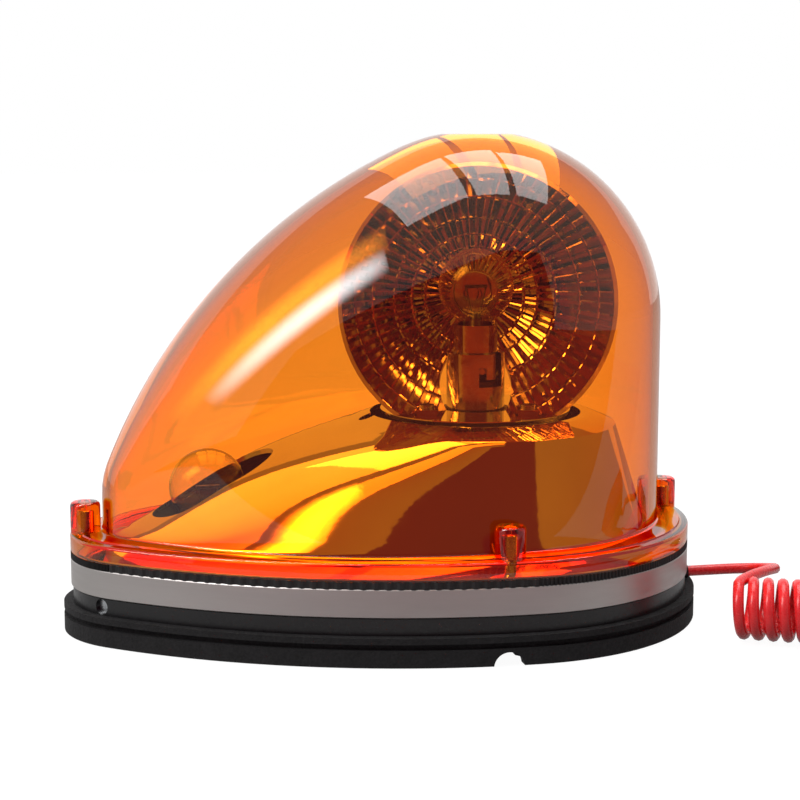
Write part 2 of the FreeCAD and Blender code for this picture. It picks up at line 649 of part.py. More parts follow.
# ---------------------------------------------------------------- chassis
def capped_screws(label, places, radius, head_radius, foot, seat):
    """Make a set of like screws, each a shank up to its seat and a head on top of it."""
    screws = []
    for x, y in places:
        shank = cylinder(radius, foot, seat, x, y)
        head = cylinder(head_radius, seat, "%s + %s" % (seat, radius), x, y)
        screws.append(shank.fuse(head).removeSplitter())
    return solid_feature(label, Part.makeCompound(screws))


def make_chassis():
    pillars = new_body("chassis_pillars")
    plate = new_body("chassis_plate")
    sketch = new_sketch(plate, offset="chassis_height")
    add_circle(sketch, "0", "0", "chassis_radius")
    add_circle(sketch, "0", "0", "socket_radius + socket_fit")
    add_circle(sketch, MOTOR_X, "0", "motor_boss_radius + shaft_fit")
    for x, y in PILLARS:
        add_circle(sketch, x, y, "pillar_screw_radius + screw_slack")
    for x, y in MOTOR_SCREWS:
        add_circle(sketch, x, y, "motor_screw_radius + screw_fit")
    add_pad(plate, sketch, "chassis_thickness")
    sketch = new_sketch(pillars, offset=FLOOR_TOP)
    for x, y in PILLARS:
        add_circle(sketch, x, y, "pillar_radius")
    add_pad(pillars, sketch, "chassis_height - (%s)" % FLOOR_TOP)
    sketch = new_sketch(pillars, offset="chassis_height")
    for x, y in PILLARS:
        add_circle(sketch, x, y, "pillar_screw_radius + screw_fit")
    add_pocket(pillars, sketch, "pillar_screw_depth")
    capped_screws("chassis_screws", PILLARS, "pillar_screw_radius", "pillar_screw_head",
                  "chassis_height - pillar_screw_depth + screw_end_gap", PLATE_TOP)
    turned("bearing_sleeve", (
        ("socket_radius + socket_fit", PLATE_TOP), ("sleeve_flange_radius", PLATE_TOP),
        ("sleeve_flange_radius", SLEEVE_FOOT_TOP), ("sleeve_radius", SLEEVE_FOOT_TOP),
        ("sleeve_radius", PLATE_TOP + " + sleeve_height"),
        ("socket_radius + socket_fit", PLATE_TOP + " + sleeve_height")))
    turned("thrust_washer", ring("sleeve_radius + hub_fit", "sleeve_flange_radius - 1",
                                 SLEEVE_FOOT_TOP, ROTOR_FOOT + " - hub_fit"))
    turned("socket_lock_ring", ring("socket_radius + socket_fit", "lock_ring_radius",
                                    "chassis_height - socket_foot", "chassis_height"))


# ---------------------------------------------------------------- lamps
def add_j_slot(body, side, mouth, pin_height):
    """Cut one J slot: down from the mouth, across, and up to the pin's seat."""
    half = "slot_width / 2"
    low = "(%s) - slot_hook" % pin_height
    corners = (("slot_shift + " + half, "(%s) + 1" % mouth),
               ("slot_shift + " + half, "%s - %s" % (low, half)),
               ("-" + half, "%s - %s" % (low, half)),
               ("-" + half, "(%s) + %s" % (pin_height, half)),
               (half, "(%s) + %s" % (pin_height, half)), (half, "%s + %s" % (low, half)),
               ("slot_shift - " + half, "%s + %s" % (low, half)),
               ("slot_shift - " + half, "(%s) + 1" % mouth))
    if side > 0:
        corners = [("-(%s)" % x, z) for x, z in corners]
    sketch = new_sketch(body, "XZ_Plane")
    add_polygon(sketch, corners)
    add_pocket(body, sketch, "socket_radius + 1", reversed_cut=side < 0)


def make_lamp(prefix, x, height, tube_foot, tube_flange):
    """Make a lamp and its bayonet socket: tube, insulator, contact, cap, glass and filament."""
    cap_top = height + " - globe_radius"
    cap_foot = cap_top + " - cap_length"
    mouth = cap_top + " - socket_drop"
    pin_height = cap_top + " - pin_drop"
    bore = "socket_radius - socket_wall"
    corners = [(bore, tube_foot), ("socket_radius", tube_foot), ("socket_radius", mouth),
               (bore, mouth)]
    if tube_flange:
        corners[1:2] = [("lock_ring_radius", tube_foot),
                        ("lock_ring_radius", tube_foot + " + sleeve_flange"),
                        ("socket_radius", tube_foot + " + sleeve_flange")]
    tube = turned(prefix + "socket_tube", corners, x)
    for side in (-1, 1):
        add_j_slot(tube, side, mouth, pin_height)
    insulator_top = cap_foot + " - plunger_travel"
    turned(prefix + "socket_insulator",
           ring("contact_radius + socket_fit", bore + " - socket_fit",
                insulator_top + " - insulator_thickness", insulator_top), x)
    turned(prefix + "socket_contact", (
        ("0", insulator_top + " - insulator_thickness"),
        ("contact_radius", insulator_top + " - insulator_thickness"),
        ("contact_radius", cap_foot + " - contact_nub"), ("0", cap_foot + " - contact_nub")), x)
    cap = turned(prefix + "lamp_cap", (
        ("0", cap_foot + " - contact_nub"), ("contact_radius", cap_foot + " - contact_nub"),
        ("contact_radius", cap_foot), ("cap_radius - 1", cap_foot),
        ("cap_radius", cap_foot + " + 1"), ("cap_radius", cap_top),
        ("cap_radius - cap_wall", cap_top), ("cap_radius - cap_wall", cap_foot + " + 3"),
        ("0", cap_foot + " + 3")), x)
    for side in (-1, 1):
        pin = cap.newObject("PartDesign::AdditiveCylinder", "Pin")
        bind(pin, Radius="pin_radius", Height="pin_reach - cap_radius + cap_wall / 2")
        place(pin, "0", "%d * (cap_radius - cap_wall / 2)" % side, pin_height,
              FreeCAD.Rotation(Z_AXIS, Vector(0, side, 0)))
    doc.recompute()
    inner_neck = "neck_radius - glass_wall"
    inner_globe = "globe_radius - glass_wall"
    glass_foot = cap_top + " - neck_depth"
    turned(prefix + "lamp_glass", (
        (inner_neck, glass_foot), ("neck_radius", glass_foot),
        ("neck_radius", height + " - sqrt(globe_radius ^ 2 - neck_radius ^ 2)"),
        ("0", height + " + globe_radius", "globe_radius", 1),
        ("0", height + " + globe_radius - glass_wall"),
        (inner_neck, height + " - sqrt((%s) ^ 2 - (%s) ^ 2)" % (inner_globe, inner_neck),
         inner_globe, -1)), x)
    make_filament(prefix, x, height, glass_foot)


def make_filament(prefix, x, height, foot):
    """Glass stem, two support wires and the filament's bar across them."""
    stem = Part.makeCone(size("stem_foot_radius"), size("stem_top_radius"), size("stem_height"),
                         Vector(0, 0, size(foot)))
    wires = []
    for side in (-1, 1):
        start = Vector(side * size("wire_foot_reach"), 0, size(foot + " + wire_foot_rise"))
        end = Vector(side * size("wire_top_reach"), 0, size(height))
        wires.append(Part.makeCylinder(size("wire_radius"), (end - start).Length, start,
                                       end - start))
    reach = size("filament_reach")
    bar = Part.makeCylinder(size("filament_thickness"), 2 * reach,
                            Vector(-reach, 0, size(height)), Vector(1, 0, 0))
    solid_feature(prefix + "lamp_filament", stem.fuse(wires + [bar]), x)


# ---------------------------------------------------------------- rotor
def make_rotor():
    hub_flange_foot = "turntable_height - turntable_thickness"
    turned("rotor_hub", (
        (HUB_BORE, ROTOR_FOOT), (HUB_RADIUS, ROTOR_FOOT), (HUB_RADIUS, hub_flange_foot),
        ("hub_flange_radius", hub_flange_foot), ("hub_flange_radius", "turntable_height"),
        (HUB_BORE, "turntable_height")))
    turned("turntable", ring(HUB_BORE, "turntable_radius", "turntable_height", TURNTABLE_TOP))
    turn = FreeCAD.Rotation(Z_AXIS, size("rotor_turn"))
    solid_feature("reflector", reflector_shape(), rotation=turn)
    screws = [(("%d * foot_screw_x" % side), "-foot_screw_y") for side in (-1, 1)]
    seat = TURNTABLE_TOP + " + foot_thickness"
    feature = capped_screws("reflector_screws", screws, "foot_screw_radius", "foot_screw_head",
                            TURNTABLE_TOP, seat)
    place(feature, rotation=turn)


def reflector_shape():
    """Stepped bowl that faces -Y, cut off level on the turntable and round the lamp's stem."""
    focus, radius = size("dish_focus"), size("dish_radius")
    thickness, rings = size("dish_thickness"), int(size("dish_rings"))
    hub = size("dish_hub_radius")
    radii = [0.0, hub] + [hub + (radius - hub) * step / rings for step in range(1, rings + 1)]
    front = [(edge, focus - edge ** 2 / (4 * focus)) for edge in radii]
    lip = (radius + size("dish_lip"), front[-1][1])
    back = [(lip[0], lip[1] + thickness)] + [(edge, depth + thickness)
                                             for edge, depth in reversed(front)]
    height = size("dish_height")
    corners = [Vector(edge, depth, height) for edge, depth in front + [lip] + back]
    section = Part.Face(Part.makePolygon(corners + corners[:1]))
    bowl = section.revolve(Vector(0, 0, height), Vector(0, 1, 0), 360)
    floor = size(TURNTABLE_TOP)
    below = Part.makeBox(4 * radius, 4 * radius, radius,
                         Vector(-2 * radius, -2 * radius, floor - radius))
    stem = Part.makeCylinder(size("dish_stem_gap"), height, Vector(0, 0, 0))
    feet = []
    width = size("foot_width")
    for side in (-1, 1):
        centre = Vector(side * size("foot_screw_x"), -size("foot_screw_y"), floor)
        foot = Part.makeBox(width, width * 1.5, size("foot_thickness"),
                            centre - Vector(width / 2, width / 2, 0))
        hole = Part.makeCylinder(size("foot_screw_radius + screw_fit"), width, centre)
        feet.append(foot.cut(hole))
    return bowl.cut([below, stem]).fuse(feet).removeSplitter()


def involute(angle):
    return math.tan(angle) - angle


def gear_outline(teeth, first_tooth, height):
    """Close a spur gear's outline: straight-rooted involute teeth with stub addendum."""
    module = size("gear_module")
    pitch = module * teeth / 2
    pressure = math.radians(size("pressure_angle"))
    base = pitch * math.cos(pressure)
    root = pitch - module * size("tooth_dedendum")
    tip = pitch + module * size("tooth_addendum")
    half = math.pi / (2 * teeth) - size("tooth_backlash") / (2 * pitch)

    def flank(radius):
        turn = math.acos(min(base / radius, 1.0)) if radius > base else 0.0
        return half + involute(pressure) - involute(turn)

    radii = [root, max(base, root * 1.01), pitch, tip]
    points = []
    for tooth in range(teeth):
        centre = math.radians(first_tooth) + 2 * math.pi * tooth / teeth
        for radius in radii:
            points.append((radius, centre - flank(radius)))
        for radius in reversed(radii):
            points.append((radius, centre + flank(radius)))
    corners = [Vector(radius * math.cos(angle), radius * math.sin(angle), height)
               for radius, angle in points]
    return Part.Face(Part.makePolygon(corners + corners[:1]))


def make_gears():
    """Drive wheel on the hub and the motor's pinion, in mesh at rest."""
    foot, width = size("wheel_height"), size("wheel_width")
    teeth = int(size("wheel_teeth"))
    blank = gear_outline(teeth, 0.0, foot).extrude(Z_AXIS * width)
    rim = size(WHEEL_PITCH + " - gear_module * tooth_dedendum - rim_thickness")
    hub = size(HUB_RADIUS + " + rim_thickness")
    well = (width - size("wheel_web")) / 2
    wells = []
    for low in (foot, foot + width - well):
        start = Vector(0, 0, low)
        wells.append(Part.makeCylinder(rim, well, start).cut(Part.makeCylinder(hub, well, start)))
    bore = Part.makeCylinder(size(HUB_RADIUS + " + socket_fit"), width, Vector(0, 0, foot))
    solid_feature("drive_wheel", blank.cut(wells + [bore]))
    overlap = size("pinion_overlap")
    teeth = int(size("pinion_teeth"))
    pinion = gear_outline(teeth, 180.0 / teeth, foot - overlap)
    pinion = pinion.extrude(Z_AXIS * (width + 2 * overlap))
    bore = Part.makeCylinder(size("shaft_radius + socket_fit / 2"), 4 * width,
                             Vector(0, 0, foot - width))
    solid_feature("pinion", pinion.cut(bore), MOTOR_X)


def make_motor():
    """Motor hung under the plate: can, end cap, screws, and the armature on its shaft."""
    cap_foot = FLOOR_TOP + " + motor_foot_gap"
    can_foot = cap_foot + " + motor_cap"
    bore = "shaft_radius + shaft_fit"
    inner = "motor_radius - motor_wall"
    turned("motor_can", (
        (bore, "chassis_height - motor_wall"), (inner, "chassis_height - motor_wall"),
        (inner, can_foot), ("motor_radius", can_foot), ("motor_radius", "chassis_height"),
        ("motor_boss_radius", "chassis_height"), ("motor_boss_radius", PLATE_TOP),
        (bore, PLATE_TOP)), MOTOR_X)
    turned("motor_end_cap", (
        ("0", cap_foot), ("motor_radius", cap_foot), ("motor_radius", can_foot),
        (bore, can_foot), (bore, cap_foot + " + motor_wall"), ("0", cap_foot + " + motor_wall")),
        MOTOR_X)
    capped_screws("motor_screws", MOTOR_SCREWS, "motor_screw_radius", "motor_screw_radius * 1.8",
                  "chassis_height", PLATE_TOP)
    shaft_foot = cap_foot + " + motor_wall + shaft_fit"
    turned("motor_shaft", (
        ("0", shaft_foot), ("shaft_radius", shaft_foot),
        ("shaft_radius", "wheel_height + wheel_width + shaft_rise"),
        ("0", "wheel_height + wheel_width + shaft_rise")), MOTOR_X)
    armature_foot = can_foot + " + motor_cap"
    turned("motor_armature", ring("shaft_radius", "armature_radius", armature_foot,
                                  armature_foot + " + armature_length"), MOTOR_X)


# ---------------------------------------------------------------- lead and plug
def route_wire(points):
    """Join a route's runs by tangent arcs as large as the runs allow; give wire and radii."""
    points = [Vector(*point) for point in points]
    edges, radii = [], []
    last = points[0]
    for before, corner, after in zip(points, points[1:], points[2:]):
        inward, outward = (before - corner), (after - corner)
        run = min(inward.Length, outward.Length)
        inward.normalize()
        outward.normalize()
        turn = math.pi - inward.getAngle(outward)
        reach = 0.45 * run
        radius = reach / math.tan(turn / 2)
        start, stop = corner + inward * reach, corner + outward * reach
        bisector = (inward + outward).normalize()
        centre = corner + bisector * math.hypot(radius, reach)
        middle = centre - bisector * radius
        edges += [Part.LineSegment(last, start).toShape(), Part.Arc(start, middle, stop).toShape()]
        radii.append(radius)
        last = stop
    edges.append(Part.LineSegment(last, points[-1]).toShape())
    return Part.Wire(edges), radii


def swept_tube(label, points, radius):
    path, radii = route_wire(points)
    start = Vector(*points[0])
    circle = Part.Circle(start, Vector(*points[1]) - start, size(radius))
    tube = path.makePipeShell([Part.Wire([circle.toShape()])], True, True)
    expected = math.pi * size(radius) ** 2 * path.Length
    print(label, "radii", " ".join("%.1f" % value for value in radii), "length %.1f" % path.Length,
          "volume share %.4f" % (tube.Volume / expected))
    return solid_feature(label, tube)


def make_lead():
    start = ("tail_x - cord_fit + sqrt((tail_radius - tub_wall) ^ 2"
             " - (abs(grommet_y) + grommet_radius) ^ 2)")
    turned("cable_grommet", ring("cord_radius + cord_fit", "grommet_radius - cord_fit", "0",
                                 "tub_wall + grommet_nose"),
           start, "grommet_y", "grommet_height", FreeCAD.Rotation(Z_AXIS, Vector(1, 0, 0)))
    swept_tube("cord_lead", LEAD_POINTS, "cord_radius")
    swept_tube("cord_coil", COIL_POINTS, "coil_radius")
    swept_tube("cord_tail", TAIL_POINTS, "cord_radius")


def make_plug():
    """Lighter plug: strain relief, body, collar, two earth springs and a sprung tip."""
    angle = math.radians(size("plug_turn"))
    along = FreeCAD.Rotation(Z_AXIS, Vector(math.cos(angle), math.sin(angle), 0))
    where = [str(value) for value in TAIL_POINTS[-1]] + [along]
    body_end = "relief_length + plug_length"
    collar_end = body_end + " + collar_length"
    turned("plug_relief", (("0", "0"), ("relief_neck", "0"),
                           ("relief_radius", "relief_length"), ("0", "relief_length")), *where)
    turned("plug_body", (
        ("0", "relief_length"), ("plug_shoulder_radius", "relief_length"),
        ("plug_radius", "relief_length + plug_shoulder"), ("plug_radius", body_end),
        ("0", body_end)), *where)
    bore = "tip_radius + tip_fit"
    seat = collar_end + " - tip_seat - tip_travel - tip_fit"
    turned("plug_collar", (
        ("0", body_end), ("collar_radius", body_end), ("collar_radius", body_end + " + 3"),
        ("collar_nose", collar_end), (bore, collar_end), (bore, seat), ("0", seat)), *where)
    tip_foot = collar_end + " - tip_seat"
    turned("plug_tip", (
        ("0", tip_foot), ("tip_radius", tip_foot), ("tip_radius", collar_end + " + 0.4 * tip_length"),
        ("0.45 * tip_radius", collar_end + " + tip_length"), ("0", collar_end + " + tip_length")),
        *where)
    springs = []
    low = size(body_end) - size("earth_length")
    high = size(body_end)
    inner = size("plug_radius - earth_seat")
    bow, thickness = size("earth_bow"), size("earth_thickness")
    for side in (-1, 1):
        arcs = []
        for lift in (0.0, thickness):
            arcs.append([Vector(0, side * (inner + lift), low),
                         Vector(0, side * (inner + bow + lift), (low + high) / 2),
                         Vector(0, side * (inner + lift), high)])
        edges = [Part.Arc(*arcs[0]).toShape(), Part.LineSegment(arcs[0][2], arcs[1][2]).toShape(),
                 Part.Arc(*arcs[1]).toShape(), Part.LineSegment(arcs[1][0], arcs[0][0]).toShape()]
        face = Part.Face(Part.Wire(Part.__sortEdges__(edges)))
        width = size("earth_width")
        face.translate(Vector(-width / 2, 0, 0))
        springs.append(face.extrude(Vector(width, 0, 0)))
    solid_feature("plug_earth_springs", Part.makeCompound(springs), *where)


def check_and_export():
    """Stop on any failed object or unsound shape, then write one file for each sub-part."""
    doc.recompute()
    for target in doc.Objects:
        if "Invalid" in target.State or "Error" in target.State:
            raise ValueError("%s failed: %s" % (target.Label, target.State))
    for target in sub_parts:
        shape = target.Shape
        if shape.isNull() or not shape.isValid() or shape.Volume <= 0:
            raise ValueError(target.Label + " has no sound shape")
    os.makedirs("parts", exist_ok=True)
    for target in sub_parts:
        target.Shape.exportStep("parts/%s.step" % target.Label)
    print(len(sub_parts), "sub-parts")


make_rubber_pad()
make_magnet()
make_base_tub()
make_trim_and_gasket()
make_lens_dome()
make_lens_screws()
make_side_screws()
make_chrome_cover()
make_chassis()
make_lamp("", "0", "lamp_height", "chassis_height - socket_foot", False)
make_lamp("nose_", "nose_lamp_x", "nose_lamp_height", FLOOR_TOP, True)
make_rotor()
make_gears()
make_motor()
make_lead()
make_plug()
check_and_export()
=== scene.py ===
"""Dresses a teardrop rotating beacon: lens, bright cover, faceted reflector, base, curly lead."""
import logging
import math
from dataclasses import dataclass
from enum import Enum
from typing import Any, Dict, List, Optional, Sequence, Tuple, Union

import bmesh
import bpy
import numpy as np
from mathutils import Matrix, Vector


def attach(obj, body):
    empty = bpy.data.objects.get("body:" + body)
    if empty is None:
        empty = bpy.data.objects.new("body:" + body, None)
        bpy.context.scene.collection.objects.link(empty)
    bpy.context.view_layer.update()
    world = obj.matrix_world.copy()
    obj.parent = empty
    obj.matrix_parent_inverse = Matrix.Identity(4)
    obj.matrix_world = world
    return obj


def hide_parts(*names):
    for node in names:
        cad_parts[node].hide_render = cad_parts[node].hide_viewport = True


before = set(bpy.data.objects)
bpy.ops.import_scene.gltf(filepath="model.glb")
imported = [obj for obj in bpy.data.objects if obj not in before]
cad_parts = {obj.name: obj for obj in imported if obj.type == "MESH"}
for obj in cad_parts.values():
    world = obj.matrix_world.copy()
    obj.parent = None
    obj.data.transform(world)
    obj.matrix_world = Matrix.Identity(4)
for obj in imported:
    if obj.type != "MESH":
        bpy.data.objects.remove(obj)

LOG = logging.getLogger("beacon")
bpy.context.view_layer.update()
MM = 0.001
Point = Tuple[float, float, float]
Rows = List[np.ndarray]
Measure = Union[float, np.ndarray]


# ------------------------------------------------------------------ colours, nodes, objects
def srgb(colour: str) -> Tuple[float, float, float, float]:
    """Turn an sRGB hex colour into linear RGBA.

    Args:
        colour: hex colour such as "#F08C2D".

    Returns:
        Linear red, green, blue and an alpha of 1.
    """
    values = [int(colour[i:i + 2], 16) / 255 for i in (1, 3, 5)]
    linear = [v / 12.92 if v <= 0.04045 else ((v + 0.055) / 1.055) ** 2.4 for v in values]
    return linear[0], linear[1], linear[2], 1.0


def add_node(tree: bpy.types.NodeTree, kind: str, inputs: Optional[Dict[Any, Any]] = None,
             **settings: Any) -> bpy.types.Node:
    """Add a node with its settings and its inputs.

    Args:
        tree: node tree to add to.
        kind: the node's type name.
        inputs: socket name or index to a constant, or to an output socket to link.
        settings: the node's own attributes.

    Returns:
        The new node.
    """
    node = tree.nodes.new(kind)
    for name, value in settings.items():
        setattr(node, name, value)
    for name, value in (inputs or {}).items():
        if isinstance(value, bpy.types.NodeSocket):
            tree.links.new(value, node.inputs[name])
        else:
            node.inputs[name].default_value = value
    return node


def ramp(tree: bpy.types.NodeTree, value: bpy.types.NodeSocket,
         stops: Sequence[Tuple[float, str]]) -> bpy.types.NodeSocket:
    """Map a value to colours.

    Args:
        tree: node tree to add to.
        value: factor socket.
        stops: positions and hex colours.

    Returns:
        The colour socket.
    """
    node = add_node(tree, "ShaderNodeValToRGB", {"Fac": value})
    elements = node.color_ramp.elements
    while len(elements) < len(stops):
        elements.new(0.5)
    for element, (position, colour) in zip(elements, stops):
        element.position = position
        element.color = srgb(colour)
    return node.outputs["Color"]


def blank_material(name: str) -> bpy.types.Material:
    """Make a material with an empty node tree.

    Args:
        name: the material's name.

    Returns:
        The new material.
    """
    made = bpy.data.materials.new(name)
    made.use_nodes = True
    made.node_tree.nodes.clear()
    return made


def add_object(name: str, data: Any) -> bpy.types.Object:
    """Put a new object in the scene.

    Args:
        name: the object's name.
        data: its mesh, curve, light or camera.

    Returns:
        The new object.
    """
    made = bpy.data.objects.new(name, data)
    bpy.context.scene.collection.objects.link(made)
    return made


# ------------------------------------------------------------------ finishes
@dataclass(frozen=True)
class Finish:
    """A real material and how its surface was made; sizes of its patterns in millimetres.

    The colour drifts between two tones in patches, and the roughness swings with the grain.
    """

    name: str
    colour: str
    shade: str
    roughness: float
    swing: float = 0.06
    metallic: float = 0.0
    ior: float = 1.5
    patch_mm: float = 14.0
    grain_mm: float = 0.5
    relief_mm: float = 0.01
    stretch: Point = (1.0, 1.0, 1.0)

    def noise(self, tree: bpy.types.NodeTree, size_mm: float, detail: float = 3.0,
              stretch: Point = (1.0, 1.0, 1.0)) -> bpy.types.NodeSocket:
        """Give a noise whose patches have a real size.

        Args:
            tree: node tree to add to.
            size_mm: size of a patch in millimetres.
            detail: octaves of finer noise.
            stretch: scale along each axis, below 1 draws the pattern out.

        Returns:
            The noise's factor socket.
        """
        place = add_node(tree, "ShaderNodeTexCoord").outputs["Object"]
        place = add_node(tree, "ShaderNodeMapping", {"Vector": place, "Scale": stretch})
        return add_node(tree, "ShaderNodeTexNoise", {
            "Vector": place.outputs["Vector"], "Scale": 1000 / size_mm, "Detail": detail,
            "Roughness": 0.55}).outputs["Fac"]

    def surface(self, tree: bpy.types.NodeTree) -> bpy.types.Node:
        """Make the Principled surface with colour patches, uneven gloss and grain.

        Args:
            tree: node tree to add to.

        Returns:
            The Principled node.
        """
        patches = self.noise(tree, self.patch_mm, stretch=self.stretch)
        colour = ramp(tree, patches, ((0.3, self.shade), (0.7, self.colour)))
        grain = self.noise(tree, self.grain_mm, stretch=self.stretch)
        gloss = add_node(tree, "ShaderNodeMapRange", {
            "Value": grain, "From Min": 0.3, "From Max": 0.7,
            "To Min": max(self.roughness - self.swing, 0.0),
            "To Max": self.roughness + self.swing})
        bump = add_node(tree, "ShaderNodeBump", {
            "Strength": 1.0, "Distance": self.relief_mm * MM, "Height": grain})
        inputs = {"Base Color": colour, "Roughness": gloss.outputs["Result"],
                  "Metallic": self.metallic, "Normal": bump.outputs["Normal"]}
        if self.metallic == 0:
            inputs["IOR"] = self.ior
        return add_node(tree, "ShaderNodeBsdfPrincipled", inputs)

    def wire(self, tree: bpy.types.NodeTree, output: bpy.types.Node) -> None:
        """Link the surface of this finish in a node tree to the material's output node."""
        tree.links.new(self.surface(tree).outputs["BSDF"], output.inputs["Surface"])

    def material(self) -> bpy.types.Material:
        """Give the material, made once.

        Returns:
            The Blender material of this finish.
        """
        found = bpy.data.materials.get(self.name)
        if found:
            return found
        made = blank_material(self.name)
        output = add_node(made.node_tree, "ShaderNodeOutputMaterial")
        self.wire(made.node_tree, output)
        made.diffuse_color = srgb(self.colour)
        return made


@dataclass(frozen=True)
class SeeThrough(Finish):
    """Clear or tinted moulding: refracts what is seen through it and lets light straight in."""

    tint_mm: Optional[Point] = None

    def wire(self, tree: bpy.types.NodeTree, output: bpy.types.Node) -> None:
        """Link a refracting surface, with straight passage for light and inner reflections.

        Args:
            tree: node tree to add to.
            output: the material's output node.
        """
        ripple = self.noise(tree, self.grain_mm, 1.0)
        bump = add_node(tree, "ShaderNodeBump", {
            "Strength": 1.0, "Distance": self.relief_mm * MM, "Height": ripple})
        glass = add_node(tree, "ShaderNodeBsdfPrincipled", {
            "Base Color": srgb(self.colour), "Roughness": self.roughness, "IOR": self.ior,
            "Transmission Weight": 1.0, "Normal": bump.outputs["Normal"]})
        straight = add_node(tree, "ShaderNodeBsdfTransparent", {"Color": srgb(self.shade)})
        path = add_node(tree, "ShaderNodeLightPath")
        seen = add_node(tree, "ShaderNodeMath", {
            0: path.outputs["Is Camera Ray"], 1: path.outputs["Is Transmission Ray"]},
            operation="MAXIMUM")
        mixed = add_node(tree, "ShaderNodeMixShader", {
            0: seen.outputs["Value"], 1: straight.outputs["BSDF"], 2: glass.outputs["BSDF"]})
        tree.links.new(mixed.outputs["Shader"], output.inputs["Surface"])
        if self.tint_mm:
            # the tint is absorption per millimetre, so thicker and slanted walls look deeper
            strongest = max(self.tint_mm)
            colour = tuple(1 - value / strongest for value in self.tint_mm) + (1.0,)
            depth = add_node(tree, "ShaderNodeVolumeAbsorption", {
                "Color": colour, "Density": strongest / MM})
            tree.links.new(depth.outputs["Volume"], output.inputs["Volume"])


# Brush marks, mould grain and drawing lines are really under 0.1 mm. They are drawn as coarse as
# grain_mm says, up to about a millimetre, so that they show.
# Amber polycarbonate, injection moulded: saturated orange that deepens where the wall is slanted.
AMBER = SeeThrough("amber_polycarbonate_moulded", "#FFF4E6", "#FFFFFF", roughness=0.0,
                   ior=1.585, grain_mm=22.0, relief_mm=0.006, tint_mm=(0.018, 0.238, 0.80))
# Soda-lime glass, blown: clear with a faint ripple.
BLOWN_GLASS = SeeThrough("soda_glass_blown", "#FBFDFF", "#F4F8FA", roughness=0.0, ior=1.52,
                         grain_mm=6.0, relief_mm=0.01)
# ABS, vacuum metallised under lacquer: a mirror with the moulding's soft waves.
METALLISED = Finish("abs_vacuum_metallised", "#F1EEEA", "#E6E2DE", roughness=0.05, swing=0.02,
                    metallic=1.0, patch_mm=30.0, grain_mm=9.0, relief_mm=0.03)
# The same film on the reflector's sharp facets: bright points among dark ones, a little warm.
MIRROR_FILM = Finish("reflector_vacuum_metallised", "#F2D6CB", "#DDB8AC", roughness=0.06,
                     swing=0.03, metallic=1.0, patch_mm=8.0, grain_mm=3.0, relief_mm=0.012)
# Aluminium strip, brushed lengthways and lacquered: satin silver with streaks along it.
BRUSHED = Finish("aluminium_strip_brushed", "#C6C1BE", "#B0ABA8", roughness=0.42, metallic=1.0,
                 patch_mm=26.0, grain_mm=0.9, relief_mm=0.008, stretch=(0.12, 0.12, 1.0))
# Black ABS, moulded with a spark-eroded grain: deep black with soft, broken highlights.
BLACK_ABS = Finish("abs_black_moulded", "#0F0E10", "#09080A", roughness=0.34, swing=0.08,
                   ior=1.54, patch_mm=20.0, grain_mm=0.8, relief_mm=0.012)
# EPDM sponge, cut: dull black with the pits of small open cells.
SPONGE = Finish("epdm_sponge_cut", "#171517", "#0A090A", roughness=0.86, swing=0.08,
                patch_mm=5.0, grain_mm=0.9, relief_mm=0.25)
# EPDM, moulded solid: dark and dull.
GASKET = Finish("epdm_moulded", "#1C1A1A", "#100F0F", roughness=0.55, swing=0.1,
                patch_mm=6.0, grain_mm=0.7, relief_mm=0.03)
# Steel, bright zinc plated: cool grey with a soft shine.
ZINC = Finish("steel_zinc_plated", "#C4C6C8", "#A4A8AC", roughness=0.28, swing=0.08,
              metallic=1.0, patch_mm=7.0, grain_mm=1.2, relief_mm=0.01)
# Brass, nickel plated: warm bright metal.
NICKEL = Finish("brass_nickel_plated", "#D9D4CA", "#BDB6A9", roughness=0.16, metallic=1.0,
                patch_mm=6.0, grain_mm=1.5, relief_mm=0.008)
# Brass, turned and left bare: yellow, slightly dulled.
BRASS = Finish("brass_turned", "#D8B768", "#B08E47", roughness=0.25, swing=0.08,
               metallic=1.0, patch_mm=4.0, grain_mm=0.6, relief_mm=0.008)
# Acetal, moulded: cream and waxy.
ACETAL = Finish("acetal_moulded", "#E6E1D4", "#D6D0C1", roughness=0.32, swing=0.05,
                ior=1.48, patch_mm=9.0, grain_mm=1.0, relief_mm=0.01)
# Phenolic board, pressed: brown with paper mottling.
PHENOLIC = Finish("phenolic_pressed", "#4E2C1A", "#35190D", roughness=0.4, swing=0.1,
                  ior=1.6, patch_mm=2.0, grain_mm=0.5, relief_mm=0.02)
# Ferrite, sintered: charcoal grey, matt.
FERRITE = Finish("ferrite_sintered", "#3A393B", "#262527", roughness=0.62, swing=0.1,
                 metallic=0.3, patch_mm=8.0, grain_mm=0.4, relief_mm=0.02)
# Tungsten wire, drawn: dull grey.
TUNGSTEN = Finish("tungsten_drawn", "#8C8984", "#6D6964", roughness=0.35, swing=0.08,
                  metallic=1.0, patch_mm=1.5, grain_mm=0.2, relief_mm=0.004)
# Copper wire, wound on iron laminations: dull copper in bands.
WINDING = Finish("armature_wound", "#A5653B", "#6B4630", roughness=0.45, swing=0.1,
                 metallic=0.8, patch_mm=1.2, grain_mm=0.5, relief_mm=0.05, stretch=(1.0, 1.0, 3.0))
# Flexible PVC, extruded in signal red: waxy gloss.
RED_PVC = Finish("pvc_red_extruded", "#FA3035", "#EC2429", roughness=0.27, ior=1.53,
                 patch_mm=25.0, grain_mm=1.4, relief_mm=0.02)
# Black nylon, moulded with a fine grain: charcoal with a faint sheen.
BLACK_NYLON = Finish("nylon_black_moulded", "#202023", "#151517", roughness=0.45, swing=0.08,
                     ior=1.53, patch_mm=12.0, grain_mm=0.7, relief_mm=0.02)

